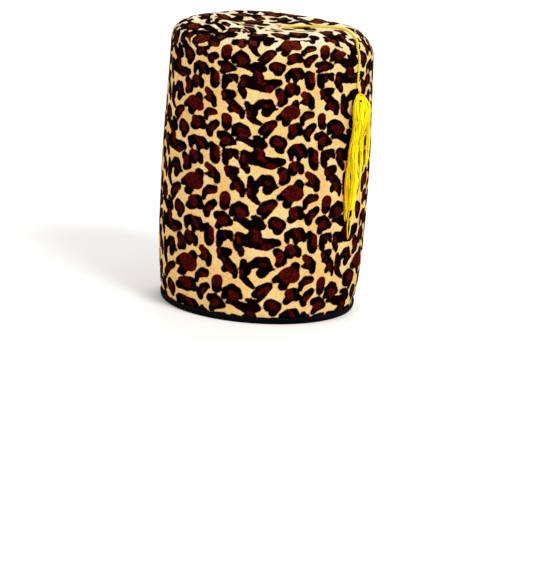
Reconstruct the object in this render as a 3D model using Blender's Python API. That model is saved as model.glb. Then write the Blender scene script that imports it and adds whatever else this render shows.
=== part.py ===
"""A tall soft fez in short-pile plush, with a black bound rim and a yellow cord and tassel.

Metres, +Z up. The hat stands on its rim: the origin is the middle of the rim's oval, on the surface.
The front of the hat faces -Y and the tassel hangs at the front right. Azimuths are in degrees from +X
towards +Y, so the front is at -90. The wall, the rolled edge and the sunken top are one set of
functions of azimuth and height; every piece is laid out from them.
"""

import bisect
import math

import bmesh
import bpy
from mathutils import Vector

# ---------------------------------------------------------------- driving dimensions (metres)
FABRIC_THICKNESS = 0.0025  # plush over its thin firm backing
GAP = 0.0003  # between pieces that touch
AROUND = 80  # sections round the hat

# Outer face of the wall. The fabric swells out just above the tight rim.
WALL_SECTIONS = (
    # height, half_width, half_depth, lean (how far the section's middle lies towards +X)
    (0.0013, 0.0875, 0.0973, 0.0000),
    (0.0070, 0.0886, 0.0982, 0.0000),
    (0.0150, 0.0906, 0.0993, 0.0000),
    (0.0300, 0.0922, 0.1002, 0.0000),
    (0.0600, 0.0943, 0.1012, 0.0000),
    (0.0900, 0.0952, 0.1016, 0.0000),
    (0.1200, 0.0953, 0.1016, -0.0001),
    (0.1500, 0.0949, 0.1012, -0.0003),
    (0.1800, 0.0942, 0.1006, -0.0005),
    (0.2100, 0.0931, 0.0994, -0.0007),
    (0.2335, 0.0924, 0.0986, -0.0008),
)

# The rolled edge: the wall turns over into the top between ROLL_DROP below the crest and the crest,
# which lies crest_inset in from the wall. The seam between wall and top is low on this roll.
ROLL_DROP = 0.026
ROLL_STATIONS = (
    # azimuth, crest_height, crest_inset, squareness, seam_height
    (-90.0, 0.2595, 0.0250, 2.6, 0.2552),
    (-60.0, 0.2595, 0.0255, 2.4, 0.2562),
    (-30.0, 0.2590, 0.0270, 2.0, 0.2545),
    (0.0, 0.2580, 0.0280, 1.9, 0.2510),
    (40.0, 0.2557, 0.0270, 2.0, 0.2497),
    (80.0, 0.2564, 0.0250, 2.3, 0.2513),
    (110.0, 0.2575, 0.0240, 2.5, 0.2523),
    (145.0, 0.2562, 0.0240, 2.6, 0.2505),
    (180.0, 0.2583, 0.0250, 2.6, 0.2510),
    (215.0, 0.2592, 0.0250, 2.6, 0.2515),
    (245.0, 0.2590, 0.0250, 2.6, 0.2530),
)
CENTRE_HEIGHT = 0.2532  # lowest part of the sunken top, where the cord is tacked

# Folds in the loose cloth of the top. share is the distance from the axis over the crest's, drift is
# how much the share grows from the fold's first end to its last, rise is up for a ridge.
TOP_FOLDS = (
    # name, azimuth, half_span, share, drift, rise, half_width
    ("valley behind the front crest", -95.0, 62.0, 0.66, 0.06, -0.0034, 0.0065),
    ("ridge at the left", -165.0, 52.0, 0.80, -0.04, 0.0022, 0.0045),
    ("pleat on the left roll", -168.0, 40.0, 1.03, 0.05, -0.0018, 0.0032),
    ("pleat outside it", -160.0, 28.0, 1.17, 0.04, -0.0013, 0.0030),
    ("valley at the back left", 138.0, 44.0, 0.62, -0.08, -0.0022, 0.0070),
    ("swell at the back right", 52.0, 40.0, 0.55, 0.05, 0.0018, 0.0100),
)

# Black binding, folded over the lower edge of the wall
BINDING_HEIGHT = 0.0062
BINDING_THICKNESS = 0.0010
BINDING_CROWN = 0.0003  # its outer face is slightly rounded

SEAM_LIP_THICKNESS = 0.0012  # the top's edge, turned down inside the wall

CORD_DIAMETER = 0.002
CORD_LIFT = CORD_DIAMETER / 2 + GAP  # from the cloth to the cord's middle
CORD_POINT_SPACING = 2.4 * CORD_DIAMETER

TASSEL_AZIMUTH = -36.5

# The tassel's outline. side runs along the wall away from the front, out is away from the wall.
TASSEL_SECTIONS = (
    # height, side, out, half_side, half_out
    (0.2078, 0.0002, 0.0046, 0.0016, 0.0014),
    (0.2064, -0.0004, 0.0054, 0.0038, 0.0034),
    (0.2030, -0.0014, 0.0070, 0.0064, 0.0056),
    (0.1975, -0.0022, 0.0082, 0.0086, 0.0072),
    (0.1900, -0.0027, 0.0085, 0.0089, 0.0074),
    (0.1807, -0.0031, 0.0083, 0.0085, 0.0073),
    (0.1583, -0.0050, 0.0086, 0.0091, 0.0076),
    (0.1494, -0.0067, 0.0083, 0.0091, 0.0073),
    (0.1312, -0.0088, 0.0072, 0.0084, 0.0063),
    (0.1220, -0.0092, 0.0061, 0.0069, 0.0052),
    (0.1062, -0.0092, 0.0053, 0.0056, 0.0044),
    (0.0987, -0.0090, 0.0046, 0.0046, 0.0037),
    (0.0924, -0.0079, 0.0038, 0.0041, 0.0029),
    (0.0746, -0.0032, 0.0024, 0.0016, 0.0014),
)
TASSEL_HEAD_ROWS = 5  # the first rows are the head, which narrows to its foot inside the locks
TASSEL_HEAD_FOOT = 0.184
TASSEL_HEAD_TUCK = 0.72  # the foot's size over the outline's

# around is the lock's place in the tassel's section: 0 away from the front, 90 outwards, 180 towards
# the front, 270 against the wall. spread is how far from the middle of the section it lies.
TASSEL_LOCKS = (
    # name, around, spread, tip_height, half_width
    ("middle", 0.0, 0.00, 0.0990, 0.0040),
    ("outer_right", 66.0, 0.56, 0.1130, 0.0032),
    ("outer_middle", 98.0, 0.58, 0.1010, 0.0034),
    ("outer_left", 134.0, 0.62, 0.1040, 0.0032),
    ("left", 176.0, 0.66, 0.0922, 0.0032),
    ("left_behind", 222.0, 0.60, 0.0975, 0.0030),
    ("behind", 272.0, 0.50, 0.1130, 0.0032),
    ("right_behind", 322.0, 0.60, 0.1260, 0.0031),
    ("right_short", 40.0, 0.76, 0.1430, 0.0035),
    ("right_short_behind", 4.0, 0.66, 0.1480, 0.0032),
    ("right_branch", 40.0, 0.45, 0.0985, 0.0015),
    ("tail", 165.0, 0.15, 0.0745, 0.0014),
)
LOCK_SIDES = 7
LOCK_FLATNESS = 0.85  # how far a lock reaches out over how far it reaches along the wall
# A lock leaves the head at LOCK_TOP and follows the outline down to its own tip.
LOCK_TOP = 0.196
LOCK_TAPER = (
    # share of the way down, size over the lock's half width
    (0.00, 0.55),
    (0.10, 0.95),
    (0.30, 1.00),
    (0.52, 1.00),
    (0.74, 0.92),
    (0.90, 0.66),
    (1.00, 0.22),
)

ANCHOR_PLACE = (0.0042, 0.0040)  # where the cord is tacked to the top
ANCHOR_RADIUS = 0.0024
ANCHOR_HEIGHT = 0.0022
ANCHOR_LOBES = 5
ANCHOR_LOBE_DEPTH = 0.10
ANCHOR_PROFILE = (
    # share of the radius, share of the height
    (0.85, 0.00),
    (1.00, 0.35),
    (0.78, 0.75),
    (0.36, 1.00),
)

# The cord's route, chosen from the tack to the tassel: first over the top, then down the wall.
CORD_OVER_TOP = (
    # x, y, lift above the cloth's own clearance
    (0.0074, 0.0040, 0.0),
    (0.0130, 0.0036, 0.0),
    (0.0210, 0.0024, 0.0),
    (0.0300, -0.0006, 0.0),
    (0.0390, -0.0050, 0.0),
    (0.0475, -0.0106, 0.0),
    (0.0552, -0.0172, 0.0),
    (0.0623, -0.0242, 0.0),
    (0.0678, -0.0312, 0.0),
    (0.0716, -0.0378, 0.0),
    (0.0740, -0.0434, 0.0),
)
CORD_DOWN_WALL = (
    # azimuth, height, out from the wall beyond the cloth's own clearance
    (-34.1, 0.2480, 0.0),
    (-34.9, 0.2400, 0.0),
    (-35.5, 0.2320, 0.0),
    (-35.8, 0.2240, 0.0),
    (-36.1, 0.2170, 0.0002),
    (-36.3, 0.2125, 0.0012),
    (-36.4, 0.2084, 0.0034),
)


# ---------------------------------------------------------------- interpolation
def smooth_through(knots, values, at):
    """Value at a place on the smooth curve through (knot, value) pairs; the ends are held."""
    if at <= knots[0]:
        return values[0]
    if at >= knots[-1]:
        return values[-1]
    i = bisect.bisect_right(knots, at) - 1
    before = max(i - 1, 0)
    after = min(i + 2, len(knots) - 1)
    span = knots[i + 1] - knots[i]
    slope_in = (values[i + 1] - values[before]) / (knots[i + 1] - knots[before])
    slope_out = (values[after] - values[i]) / (knots[after] - knots[i])
    t = (at - knots[i]) / span
    return (
        values[i] * (1 - t) ** 2 * (1 + 2 * t)
        + slope_in * span * t * (1 - t) ** 2
        + values[i + 1] * t * t * (3 - 2 * t)
        - slope_out * span * t * t * (1 - t)
    )


def column(rows, index):
    return [row[index] for row in rows]


WALL_HEIGHTS = column(WALL_SECTIONS, 0)


def wall_section(height):
    """(half_width, half_depth, lean) of the wall at a height."""
    return [
        smooth_through(WALL_HEIGHTS, column(WALL_SECTIONS, index), height) for index in (1, 2, 3)
    ]


def turned_stations():
    """The roll's stations repeated a turn before and after, so that they can be read all round."""
    return [
        (row[0] + turn,) + row[1:]
        for turn in (-360.0, 0.0, 360.0)
        for row in ROLL_STATIONS
    ]


ROLL_ALL_ROUND = turned_stations()
ROLL_AZIMUTHS = column(ROLL_ALL_ROUND, 0)


def roll_at(azimuth):
    """(crest_height, crest_inset, squareness, seam_height) at an azimuth."""
    return [
        smooth_through(ROLL_AZIMUTHS, column(ROLL_ALL_ROUND, index), azimuth)
        for index in (1, 2, 3, 4)
    ]


# ---------------------------------------------------------------- the cloth's outer face
def direction(azimuth):
    angle = math.radians(azimuth)
    return Vector((math.cos(angle), math.sin(angle), 0.0))


def wall_radius(azimuth, height):
    half_width, half_depth, lean = wall_section(height)
    along = direction(azimuth)
    oval = half_width * half_depth / math.hypot(half_depth * along.x, half_width * along.y)
    return oval + lean * along.x


def folds_at(azimuth, share):
    """Rise of the top's folds at an azimuth and a share of the crest's distance from the axis."""
    rise = 0.0
    for _, middle, half_span, fold_share, drift, fold_rise, half_width in TOP_FOLDS:
        along = ((azimuth - middle + 180.0) % 360.0 - 180.0) / half_span
        if abs(along) < 1.0:
            across = (share - fold_share - drift * along / 2) * 0.07 / half_width
            rise += fold_rise * math.cos(along * math.pi / 2) ** 2 * math.exp(-across * across)
    return rise


def roll_point(azimuth, turn):
    """(radius, height) on the rolled edge: turn is 0 at the wall and 1 at the crest."""
    crest_height, crest_inset, squareness, _ = roll_at(azimuth)
    angle = turn * math.pi / 2
    in_from_wall = crest_inset * (1 - math.cos(angle) ** (2 / squareness))
    below_crest = ROLL_DROP * (1 - math.sin(angle) ** (2 / squareness))
    radius = wall_radius(azimuth, WALL_HEIGHTS[-1]) - in_from_wall
    crest_radius = wall_radius(azimuth, WALL_HEIGHTS[-1]) - crest_inset
    fold = folds_at(azimuth, radius / crest_radius) * math.sin(angle) ** 2
    return radius, crest_height - below_crest + fold


def seam_turn(azimuth):
    """How far round the roll the seam lies."""
    crest_height, _, squareness, seam_height = roll_at(azimuth)
    share = 1 - (crest_height - seam_height) / ROLL_DROP
    return math.asin(share ** (squareness / 2)) / (math.pi / 2)


def dish_point(azimuth, share):
    """(radius, height) on the sunken top: share is 1 at the crest and 0 in the middle."""
    crest_height, crest_inset, _, _ = roll_at(azimuth)
    crest_radius = wall_radius(azimuth, WALL_HEIGHTS[-1]) - crest_inset
    sunk = CENTRE_HEIGHT + (crest_height - CENTRE_HEIGHT) * share * share * (3 - 2 * share)
    return share * crest_radius, sunk + folds_at(azimuth, share) * min(1.0, 4 * share)


def top_height(x, y):
    """Height of the cloth of the top and its roll over a place, found along the roll by halving."""
    azimuth = math.degrees(math.atan2(y, x))
    radius = math.hypot(x, y)
    crest_radius = dish_point(azimuth, 1.0)[0]
    if radius <= crest_radius:
        return dish_point(azimuth, radius / crest_radius)[1]
    low, high = 0.0, 1.0
    for _ in range(30):
        middle = (low + high) / 2
        if roll_point(azimuth, middle)[0] > radius:
            low = middle
        else:
            high = middle
    return roll_point(azimuth, low)[1]


def roll_frame(azimuth, turn):
    """(point, along, inwards) on the roll as (radius, height) pairs; along points to the crest."""
    step = 0.01
    before = roll_point(azimuth, max(turn - step, 0.0))
    after = roll_point(azimuth, min(turn + step, 1.0))
    run = after[0] - before[0]
    climb = after[1] - before[1]
    length = math.hypot(run, climb)
    along = (run / length, climb / length)
    return roll_point(azimuth, turn), along, (-along[1], along[0])


def beside_roll(azimuth, turn, forward, depth):
    """A (radius, height) point moved forward along the roll and into the hat from it."""
    point, along, inwards = roll_frame(azimuth, turn)
    return tuple(point[k] + along[k] * forward + inwards[k] * depth for k in (0, 1))


def offset_inwards(profile, depth):
    """An open (radius, height) profile moved to its left-hand side, which is the hat's inside."""
    moved = []
    for i, (radius, height) in enumerate(profile):
        before = profile[max(i - 1, 0)]
        after = profile[min(i + 1, len(profile) - 1)]
        run = after[0] - before[0]
        climb = after[1] - before[1]
        length = math.hypot(run, climb)
        moved.append((radius - depth * climb / length, height + depth * run / length))
    return moved


# ---------------------------------------------------------------- mesh building
def azimuths():
    return [360.0 * step / AROUND for step in range(AROUND)]


def place(azimuth, radius, height):
    return direction(azimuth) * radius + Vector((0.0, 0.0, height))


def new_object(name, bm, material):
    bmesh.ops.recalc_face_normals(bm, faces=bm.faces)
    mesh = bpy.data.meshes.new(name)
    bm.to_mesh(mesh)
    bm.free()
    mesh.shade_smooth()
    mesh.set_sharp_from_angle(angle=math.radians(40))
    mesh.materials.append(material)
    made = bpy.data.objects.new(name, mesh)
    bpy.context.scene.collection.objects.link(made)
    return made


def skin(bm, loops):
    """Quads between each loop of points and the next, and from the last back to the first."""
    rings = [[bm.verts.new(point) for point in loop] for loop in loops]
    for ring, following in zip(rings, rings[1:] + rings[:1]):
        for i, vertex in enumerate(ring):
            j = (i + 1) % len(ring)
            bm.faces.new((vertex, ring[j], following[j], following[i]))
    return rings


def fabric(name, colour, roughness):
    material = bpy.data.materials.new(name)
    material.use_nodes = True
    shader = material.node_tree.nodes["Principled BSDF"]
    shader.inputs["Base Color"].default_value = (*colour, 1.0)
    shader.inputs["Roughness"].default_value = roughness
    shader.inputs["Metallic"].default_value = 0.0
    return material


# ---------------------------------------------------------------- the pieces
WALL_ROWS_OUTSIDE = (0.0075, 0.015, 0.030, 0.060, 0.090, 0.120, 0.150, 0.180, 0.210)
ROLL_STEPS_OF_WALL = (0.0, 0.40, 0.72, 1.0)  # shares of the way from the wall's top to the seam
ROLL_STEPS_OF_TOP = (0.24, 0.50, 0.76)  # shares of the way from the seam to the crest
SEAM_LIP_STEPS = (0.90, 0.66, 0.42)  # shares of the way from the wall's top to the seam
DISH_SHARES = (1.0, 0.90, 0.80, 0.71, 0.62, 0.52, 0.38, 0.20)
# The inner faces follow the outer ones on fewer rows.
WALL_ROWS_LEFT_OUT_INSIDE = (1, 3, 5, 7)
TOP_ROWS_KEPT_INSIDE = (3, 5, 7, 9, 10, 11)


def wall_profile(azimuth):
    """Outer (radius, height) profile of the side wall, from its lower edge to the seam."""
    lower_edge = BINDING_THICKNESS + GAP
    rows = (lower_edge,) + WALL_ROWS_OUTSIDE
    profile = [(wall_radius(azimuth, height), height) for height in rows]
    seam = seam_turn(azimuth)
    return profile + [roll_point(azimuth, seam * step) for step in ROLL_STEPS_OF_WALL]


def make_crown_side(material):
    sections = []
    for azimuth in azimuths():
        outside = wall_profile(azimuth)
        inside = offset_inwards(outside, FABRIC_THICKNESS)
        inside[0] = (inside[0][0], outside[0][1])
        inside[-1] = beside_roll(azimuth, seam_turn(azimuth), 0.0, FABRIC_THICKNESS)
        inside = [row for i, row in enumerate(inside) if i not in WALL_ROWS_LEFT_OUT_INSIDE]
        loop = outside + inside[::-1]
        sections.append([place(azimuth, *point) for point in loop])
    bm = bmesh.new()
    skin(bm, sections)
    return new_object("crown_side", bm, material)


def top_profile(azimuth):
    """Outer (radius, height) profile of the top, from the seam to its innermost ring."""
    seam = seam_turn(azimuth)
    edge = beside_roll(azimuth, seam, GAP, 0.0)
    roll = [roll_point(azimuth, seam + (1 - seam) * step) for step in ROLL_STEPS_OF_TOP]
    return [edge] + roll + [dish_point(azimuth, share) for share in DISH_SHARES]


def seam_lip(azimuth):
    """The top's edge turned down inside the wall, as (radius, height) points that end at the seam."""
    seam = seam_turn(azimuth)
    near = FABRIC_THICKNESS + 2 * GAP
    far = near + SEAM_LIP_THICKNESS
    return (
        [beside_roll(azimuth, seam, 2 * FABRIC_THICKNESS, far - SEAM_LIP_THICKNESS / 2)]
        + [beside_roll(azimuth, seam * step, 0.0, far) for step in SEAM_LIP_STEPS]
        + [beside_roll(azimuth, seam * step, 0.0, near) for step in SEAM_LIP_STEPS[::-1]]
        + [beside_roll(azimuth, seam, GAP, near)]
    )


def roll_radius_at(azimuth, height):
    """Radius of the rolled edge at a height, found by halving."""
    low, high = 0.0, 1.0
    for _ in range(30):
        middle = (low + high) / 2
        if roll_point(azimuth, middle)[1] < height:
            low = middle
        else:
            high = middle
    return roll_point(azimuth, low)[0]


def make_crown_top(material):
    sections = []
    for azimuth in azimuths():
        outside = top_profile(azimuth)
        inside = offset_inwards(outside, FABRIC_THICKNESS)
        kept_inside = [inside[i] for i in TOP_ROWS_KEPT_INSIDE[::-1]]
        sections.append((outside, kept_inside + seam_lip(azimuth)))
    bm = bmesh.new()
    upper = [
        [bm.verts.new(place(azimuth, *section[0][k])) for azimuth, section in zip(azimuths(), sections)]
        for k in range(len(sections[0][0]))
    ]
    lower = [
        [bm.verts.new(place(azimuth, *section[1][k])) for azimuth, section in zip(azimuths(), sections)]
        for k in range(len(sections[0][1]))
    ]
    centre_above = bm.verts.new((0.0, 0.0, CENTRE_HEIGHT))
    centre_below = bm.verts.new((0.0, 0.0, CENTRE_HEIGHT - FABRIC_THICKNESS))
    # From the middle of the underside out to the lip, round the seam edge and back in over the top
    rings = lower + upper
    for ring, following in zip(rings, rings[1:]):
        for i, vertex in enumerate(ring):
            j = (i + 1) % AROUND
            bm.faces.new((vertex, ring[j], following[j], following[i]))
    for ring, centre in ((lower[0], centre_below), (upper[-1], centre_above)):
        for i, vertex in enumerate(ring):
            bm.faces.new((vertex, ring[(i + 1) % AROUND], centre))
    return new_object("crown_top", bm, material)


def make_rim_binding(material):
    outer = GAP + BINDING_THICKNESS
    inner = -(FABRIC_THICKNESS + GAP)
    corner = 0.0004
    # (distance out from the wall's outer face, height), once round the folded strip
    section = (
        (outer - corner, 0.0),
        (outer + BINDING_CROWN, BINDING_HEIGHT * 0.45),
        (outer - corner, BINDING_HEIGHT),
        (GAP, BINDING_HEIGHT),
        (GAP, BINDING_THICKNESS),
        (inner, BINDING_THICKNESS),
        (inner, BINDING_HEIGHT),
        (inner - BINDING_THICKNESS, BINDING_HEIGHT),
        (inner - BINDING_THICKNESS, 0.0),
    )
    sections = []
    for azimuth in azimuths():
        loop = [
            place(azimuth, wall_radius(azimuth, height) + out, height) for out, height in section
        ]
        sections.append(loop)
    bm = bmesh.new()
    skin(bm, sections)
    return new_object("rim_binding", bm, material)


def smooth_route(points, spacing):
    """Evenly spaced points on the smooth curve through the given ones."""
    lengths = [0.0]
    for point, following in zip(points, points[1:]):
        lengths.append(lengths[-1] + (following - point).length)
    steps = max(2, round(lengths[-1] / spacing))
    return [
        Vector(
            smooth_through(lengths, [point[axis] for point in points], lengths[-1] * step / steps)
            for axis in range(3)
        )
        for step in range(steps + 1)
    ]


def cord_route():
    points = [Vector((x, y, top_height(x, y) + CORD_LIFT + lift)) for x, y, lift in CORD_OVER_TOP]
    for azimuth, height, out in CORD_DOWN_WALL:
        if height > WALL_HEIGHTS[-1]:
            radius = roll_radius_at(azimuth, height)
        else:
            radius = wall_radius(azimuth, height)
        points.append(place(azimuth, radius + CORD_LIFT + out, height))
    return points


def make_tassel_cord(material):
    points = smooth_route(cord_route(), CORD_POINT_SPACING)
    curve = bpy.data.curves.new("tassel_cord", "CURVE")
    curve.dimensions = "3D"
    curve.bevel_depth = CORD_DIAMETER / 2
    curve.bevel_resolution = 2
    curve.use_fill_caps = True
    spline = curve.splines.new("POLY")
    spline.points.add(len(points) - 1)
    for target, point in zip(spline.points, points):
        target.co = (*point, 1.0)
    curve.materials.append(material)
    made = bpy.data.objects.new("tassel_cord", curve)
    bpy.context.scene.collection.objects.link(made)
    return made


def closed_tube(bm, rings):
    """A closed body through rings of points, with a flat cap at each end."""
    loops = [[bm.verts.new(point) for point in ring] for ring in rings]
    for loop, following in zip(loops, loops[1:]):
        for i, vertex in enumerate(loop):
            j = (i + 1) % len(loop)
            bm.faces.new((vertex, loop[j], following[j], following[i]))
    bm.faces.new(loops[0][::-1])
    bm.faces.new(loops[-1])


def tassel_section(height):
    """(side, out, half_side, half_out) of the tassel at a height."""
    rows = TASSEL_SECTIONS[::-1]
    heights = column(rows, 0)
    return [smooth_through(heights, column(rows, index), height) for index in (1, 2, 3, 4)]


def beside_wall(side, out, height):
    """A place given along the wall, out from it and by height, at the tassel's azimuth."""
    outwards = direction(TASSEL_AZIMUTH)
    along = Vector((-outwards.y, outwards.x, 0.0))
    foot = place(TASSEL_AZIMUTH, wall_radius(TASSEL_AZIMUTH, height), height)
    return foot + along * side + outwards * out


def oval_ring(centre_side, centre_out, half_side, half_out, height, sides):
    ring = []
    for step in range(sides):
        angle = 2 * math.pi * step / sides
        side = centre_side + half_side * math.cos(angle)
        out = centre_out + half_out * math.sin(angle)
        ring.append(beside_wall(side, out, height))
    return ring


def joined_in(target, helper):
    """Unions a hidden helper into the target with a modifier that stays on it."""
    helper.hide_render = True
    helper.display_type = "WIRE"
    union = target.modifiers.new("join_" + helper.name, "BOOLEAN")
    union.operation = "UNION"
    union.solver = "EXACT"
    union.object = helper


def make_tassel(material):
    bm = bmesh.new()
    heights = column(TASSEL_SECTIONS, 0)[:TASSEL_HEAD_ROWS] + [TASSEL_HEAD_FOOT]
    rings = []
    for height in heights:
        side, out, half_side, half_out = tassel_section(height)
        tuck = TASSEL_HEAD_TUCK if height == TASSEL_HEAD_FOOT else 1.0
        rings.append(oval_ring(side, out, half_side * tuck, half_out * tuck, height, 12))
    closed_tube(bm, rings)
    tassel = new_object("tassel", bm, material)
    for name, around, spread, tip_height, half_width in TASSEL_LOCKS:
        joined_in(tassel, make_lock(name, around, spread, tip_height, half_width, material))
    return tassel


def make_lock(name, around, spread, tip_height, half_width, material):
    angle = math.radians(around)
    rings = []
    for step, taper in LOCK_TAPER:
        height = LOCK_TOP + (tip_height - LOCK_TOP) * step
        side, out, half_side, half_out = tassel_section(height)
        share = spread * (0.75 + 0.25 * min(1.0, step * 4))
        lock_side = side + half_side * share * math.cos(angle)
        lock_out = out + half_out * share * math.sin(angle)
        size = half_width * taper
        rings.append(oval_ring(lock_side, lock_out, size, size * LOCK_FLATNESS, height, LOCK_SIDES))
    bm = bmesh.new()
    closed_tube(bm, rings)
    return new_object("lock_" + name, bm, material)


def make_cord_anchor(material):
    """A low knot of yarn with short ends, sewn down in the middle of the top."""
    x, y = ANCHOR_PLACE
    foot = top_height(x, y) + GAP
    bm = bmesh.new()
    rings = []
    for share, rise in ANCHOR_PROFILE:
        height = foot + ANCHOR_HEIGHT * rise
        ring = []
        for step in range(12):
            angle = 2 * math.pi * step / 12
            lobe = ANCHOR_RADIUS * share * (1.0 + ANCHOR_LOBE_DEPTH * math.cos(ANCHOR_LOBES * angle))
            ring.append(Vector((x + lobe * math.cos(angle), y + lobe * math.sin(angle), height)))
        rings.append(ring)
    closed_tube(bm, rings)
    return new_object("cord_anchor", bm, material)


def main():
    for existing in list(bpy.data.objects):
        bpy.data.objects.remove(existing, do_unlink=True)
    plush_side = fabric("plush_side", (0.80, 0.56, 0.25), 0.9)
    plush_top = fabric("plush_top", (0.90, 0.76, 0.50), 0.9)
    binding = fabric("black_binding", (0.012, 0.010, 0.010), 0.8)
    yarn = fabric("yellow_yarn", (0.95, 0.72, 0.02), 0.7)
    make_crown_side(plush_side)
    make_crown_top(plush_top)
    make_rim_binding(binding)
    make_cord_anchor(yarn)
    make_tassel_cord(yarn)
    make_tassel(yarn)


main()
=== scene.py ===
"""The looks of a tall soft fez: leopard-print plush, a black bound rim, a yellow cord and a tassel.

Metres, +Z up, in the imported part's own frame: the origin is the middle of the rim's oval, the front
faces -Y and the tassel hangs at the front right. Azimuths are in degrees from +X towards +Y. The
print is charted in millimetres. The shape of the cloth, the cord's route and the tassel's outline
repeat the part's own tables.
"""

import math
import random

import bpy
import numpy as np
from mathutils import Matrix, Vector, noise


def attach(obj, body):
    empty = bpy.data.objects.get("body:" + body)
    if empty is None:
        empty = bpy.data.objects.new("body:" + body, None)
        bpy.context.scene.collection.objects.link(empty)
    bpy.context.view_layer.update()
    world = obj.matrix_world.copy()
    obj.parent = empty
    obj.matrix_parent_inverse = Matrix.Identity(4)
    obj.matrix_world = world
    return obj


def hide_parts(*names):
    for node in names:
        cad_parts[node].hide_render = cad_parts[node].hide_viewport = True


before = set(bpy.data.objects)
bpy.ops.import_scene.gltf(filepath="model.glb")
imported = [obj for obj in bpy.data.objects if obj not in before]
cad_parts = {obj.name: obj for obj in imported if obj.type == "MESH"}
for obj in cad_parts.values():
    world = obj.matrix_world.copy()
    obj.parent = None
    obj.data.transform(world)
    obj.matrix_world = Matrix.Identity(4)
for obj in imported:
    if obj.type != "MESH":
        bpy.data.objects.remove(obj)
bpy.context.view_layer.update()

# --- the photograph's view
IMAGE_LONG_SIDE = 583  # pixels
CAMERA_PLACE = Vector((0.0, -2.8, 0.655))
CAMERA_AIM = Vector((0.0085, 0.0, 0.0076))
CAMERA_FOCAL = 3105  # pixels
CAMERA_ROLL = math.radians(3.84)
SENSOR = 36.0  # millimetres, along the image's long side

# --- the cloth's shape, as in the part
FABRIC_THICKNESS = 0.0025
GAP = 0.0003
WALL_SECTIONS = np.array((
    # height, half_width, half_depth, lean
    (0.0013, 0.0875, 0.0973, 0), (0.007, 0.0886, 0.0982, 0), (0.015, 0.0906, 0.0993, 0),
    (0.03, 0.0922, 0.1002, 0), (0.06, 0.0943, 0.1012, 0), (0.09, 0.0952, 0.1016, 0),
    (0.12, 0.0953, 0.1016, -0.0001), (0.15, 0.0949, 0.1012, -0.0003),
    (0.18, 0.0942, 0.1006, -0.0005), (0.21, 0.0931, 0.0994, -0.0007),
    (0.2335, 0.0924, 0.0986, -0.0008),
))
WALL_TOP = WALL_SECTIONS[-1, 0]
ROLL_DROP = 0.026
ROLL_STATIONS = np.array((
    # azimuth, crest_height, crest_inset, squareness, seam_height
    (-90, 0.2595, 0.025, 2.6, 0.2552), (-60, 0.2595, 0.0255, 2.4, 0.2562),
    (-30, 0.259, 0.027, 2.0, 0.2545), (0, 0.258, 0.028, 1.9, 0.251),
    (40, 0.2557, 0.027, 2.0, 0.2497), (80, 0.2564, 0.025, 2.3, 0.2513),
    (110, 0.2575, 0.024, 2.5, 0.2523), (145, 0.2562, 0.024, 2.6, 0.2505),
    (180, 0.2583, 0.025, 2.6, 0.251), (215, 0.2592, 0.025, 2.6, 0.2515),
    (245, 0.259, 0.025, 2.6, 0.253),
))
CENTRE_HEIGHT = 0.2532
TOP_FOLDS = (
    # azimuth, half_span, share, drift, rise, half_width
    (-95.0, 62.0, 0.66, 0.06, -0.0034, 0.0065),
    (-165.0, 52.0, 0.80, -0.04, 0.0022, 0.0045),
    (-168.0, 40.0, 1.03, 0.05, -0.0018, 0.0032),
    (-160.0, 28.0, 1.17, 0.04, -0.0013, 0.0030),
    (138.0, 44.0, 0.62, -0.08, -0.0022, 0.0070),
    (52.0, 40.0, 0.55, 0.05, 0.0018, 0.0100),
)
FOLD_REFERENCE = 0.07  # the crest's usual distance from the axis, which turns shares into metres
HALVINGS = 30  # steps in the search for a place on the roll
BINDING_HEIGHT = 0.0062
SEAM_LIP_THICKNESS = 0.0012

# --- cord and tassel, as in the part
CORD_DIAMETER = 0.002
CORD_LIFT = CORD_DIAMETER / 2 + GAP  # the cord's middle above the cloth
CORD_POINT_SPACING = 2.4 * CORD_DIAMETER
ANCHOR_PLACE = (0.0042, 0.0040)
CORD_OVER_TOP = (
    # x, y
    (0.0074, 0.004), (0.013, 0.0036), (0.021, 0.0024), (0.03, -0.0006), (0.039, -0.005),
    (0.0475, -0.0106), (0.0552, -0.0172), (0.0623, -0.0242), (0.0678, -0.0312),
    (0.0716, -0.0378), (0.074, -0.0434),
)
CORD_DOWN_WALL = (
    # azimuth, height, how much further out than CORD_LIFT
    (-34.1, 0.248, 0), (-34.9, 0.24, 0), (-35.5, 0.232, 0), (-35.8, 0.224, 0),
    (-36.1, 0.217, 0.0002), (-36.3, 0.2125, 0.0012), (-36.4, 0.2084, 0.0034),
)
TASSEL_AZIMUTH = -36.5
TASSEL_SECTIONS = np.array((
    # height, side, out, half_side, half_out
    (0.2078, 0.0002, 0.0046, 0.0016, 0.0014), (0.2064, -0.0004, 0.0054, 0.0038, 0.0034),
    (0.203, -0.0014, 0.007, 0.0064, 0.0056), (0.1975, -0.0022, 0.0082, 0.0086, 0.0072),
    (0.19, -0.0027, 0.0085, 0.0089, 0.0074), (0.1807, -0.0031, 0.0083, 0.0085, 0.0073),
    (0.1583, -0.005, 0.0086, 0.0091, 0.0076), (0.1494, -0.0067, 0.0083, 0.0091, 0.0073),
    (0.1312, -0.0088, 0.0072, 0.0084, 0.0063), (0.122, -0.0092, 0.0061, 0.0069, 0.0052),
    (0.1062, -0.0092, 0.0053, 0.0056, 0.0044), (0.0987, -0.009, 0.0046, 0.0046, 0.0037),
    (0.0924, -0.0079, 0.0038, 0.0041, 0.0029), (0.0746, -0.0032, 0.0024, 0.0016, 0.0014),
))[::-1]

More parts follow.
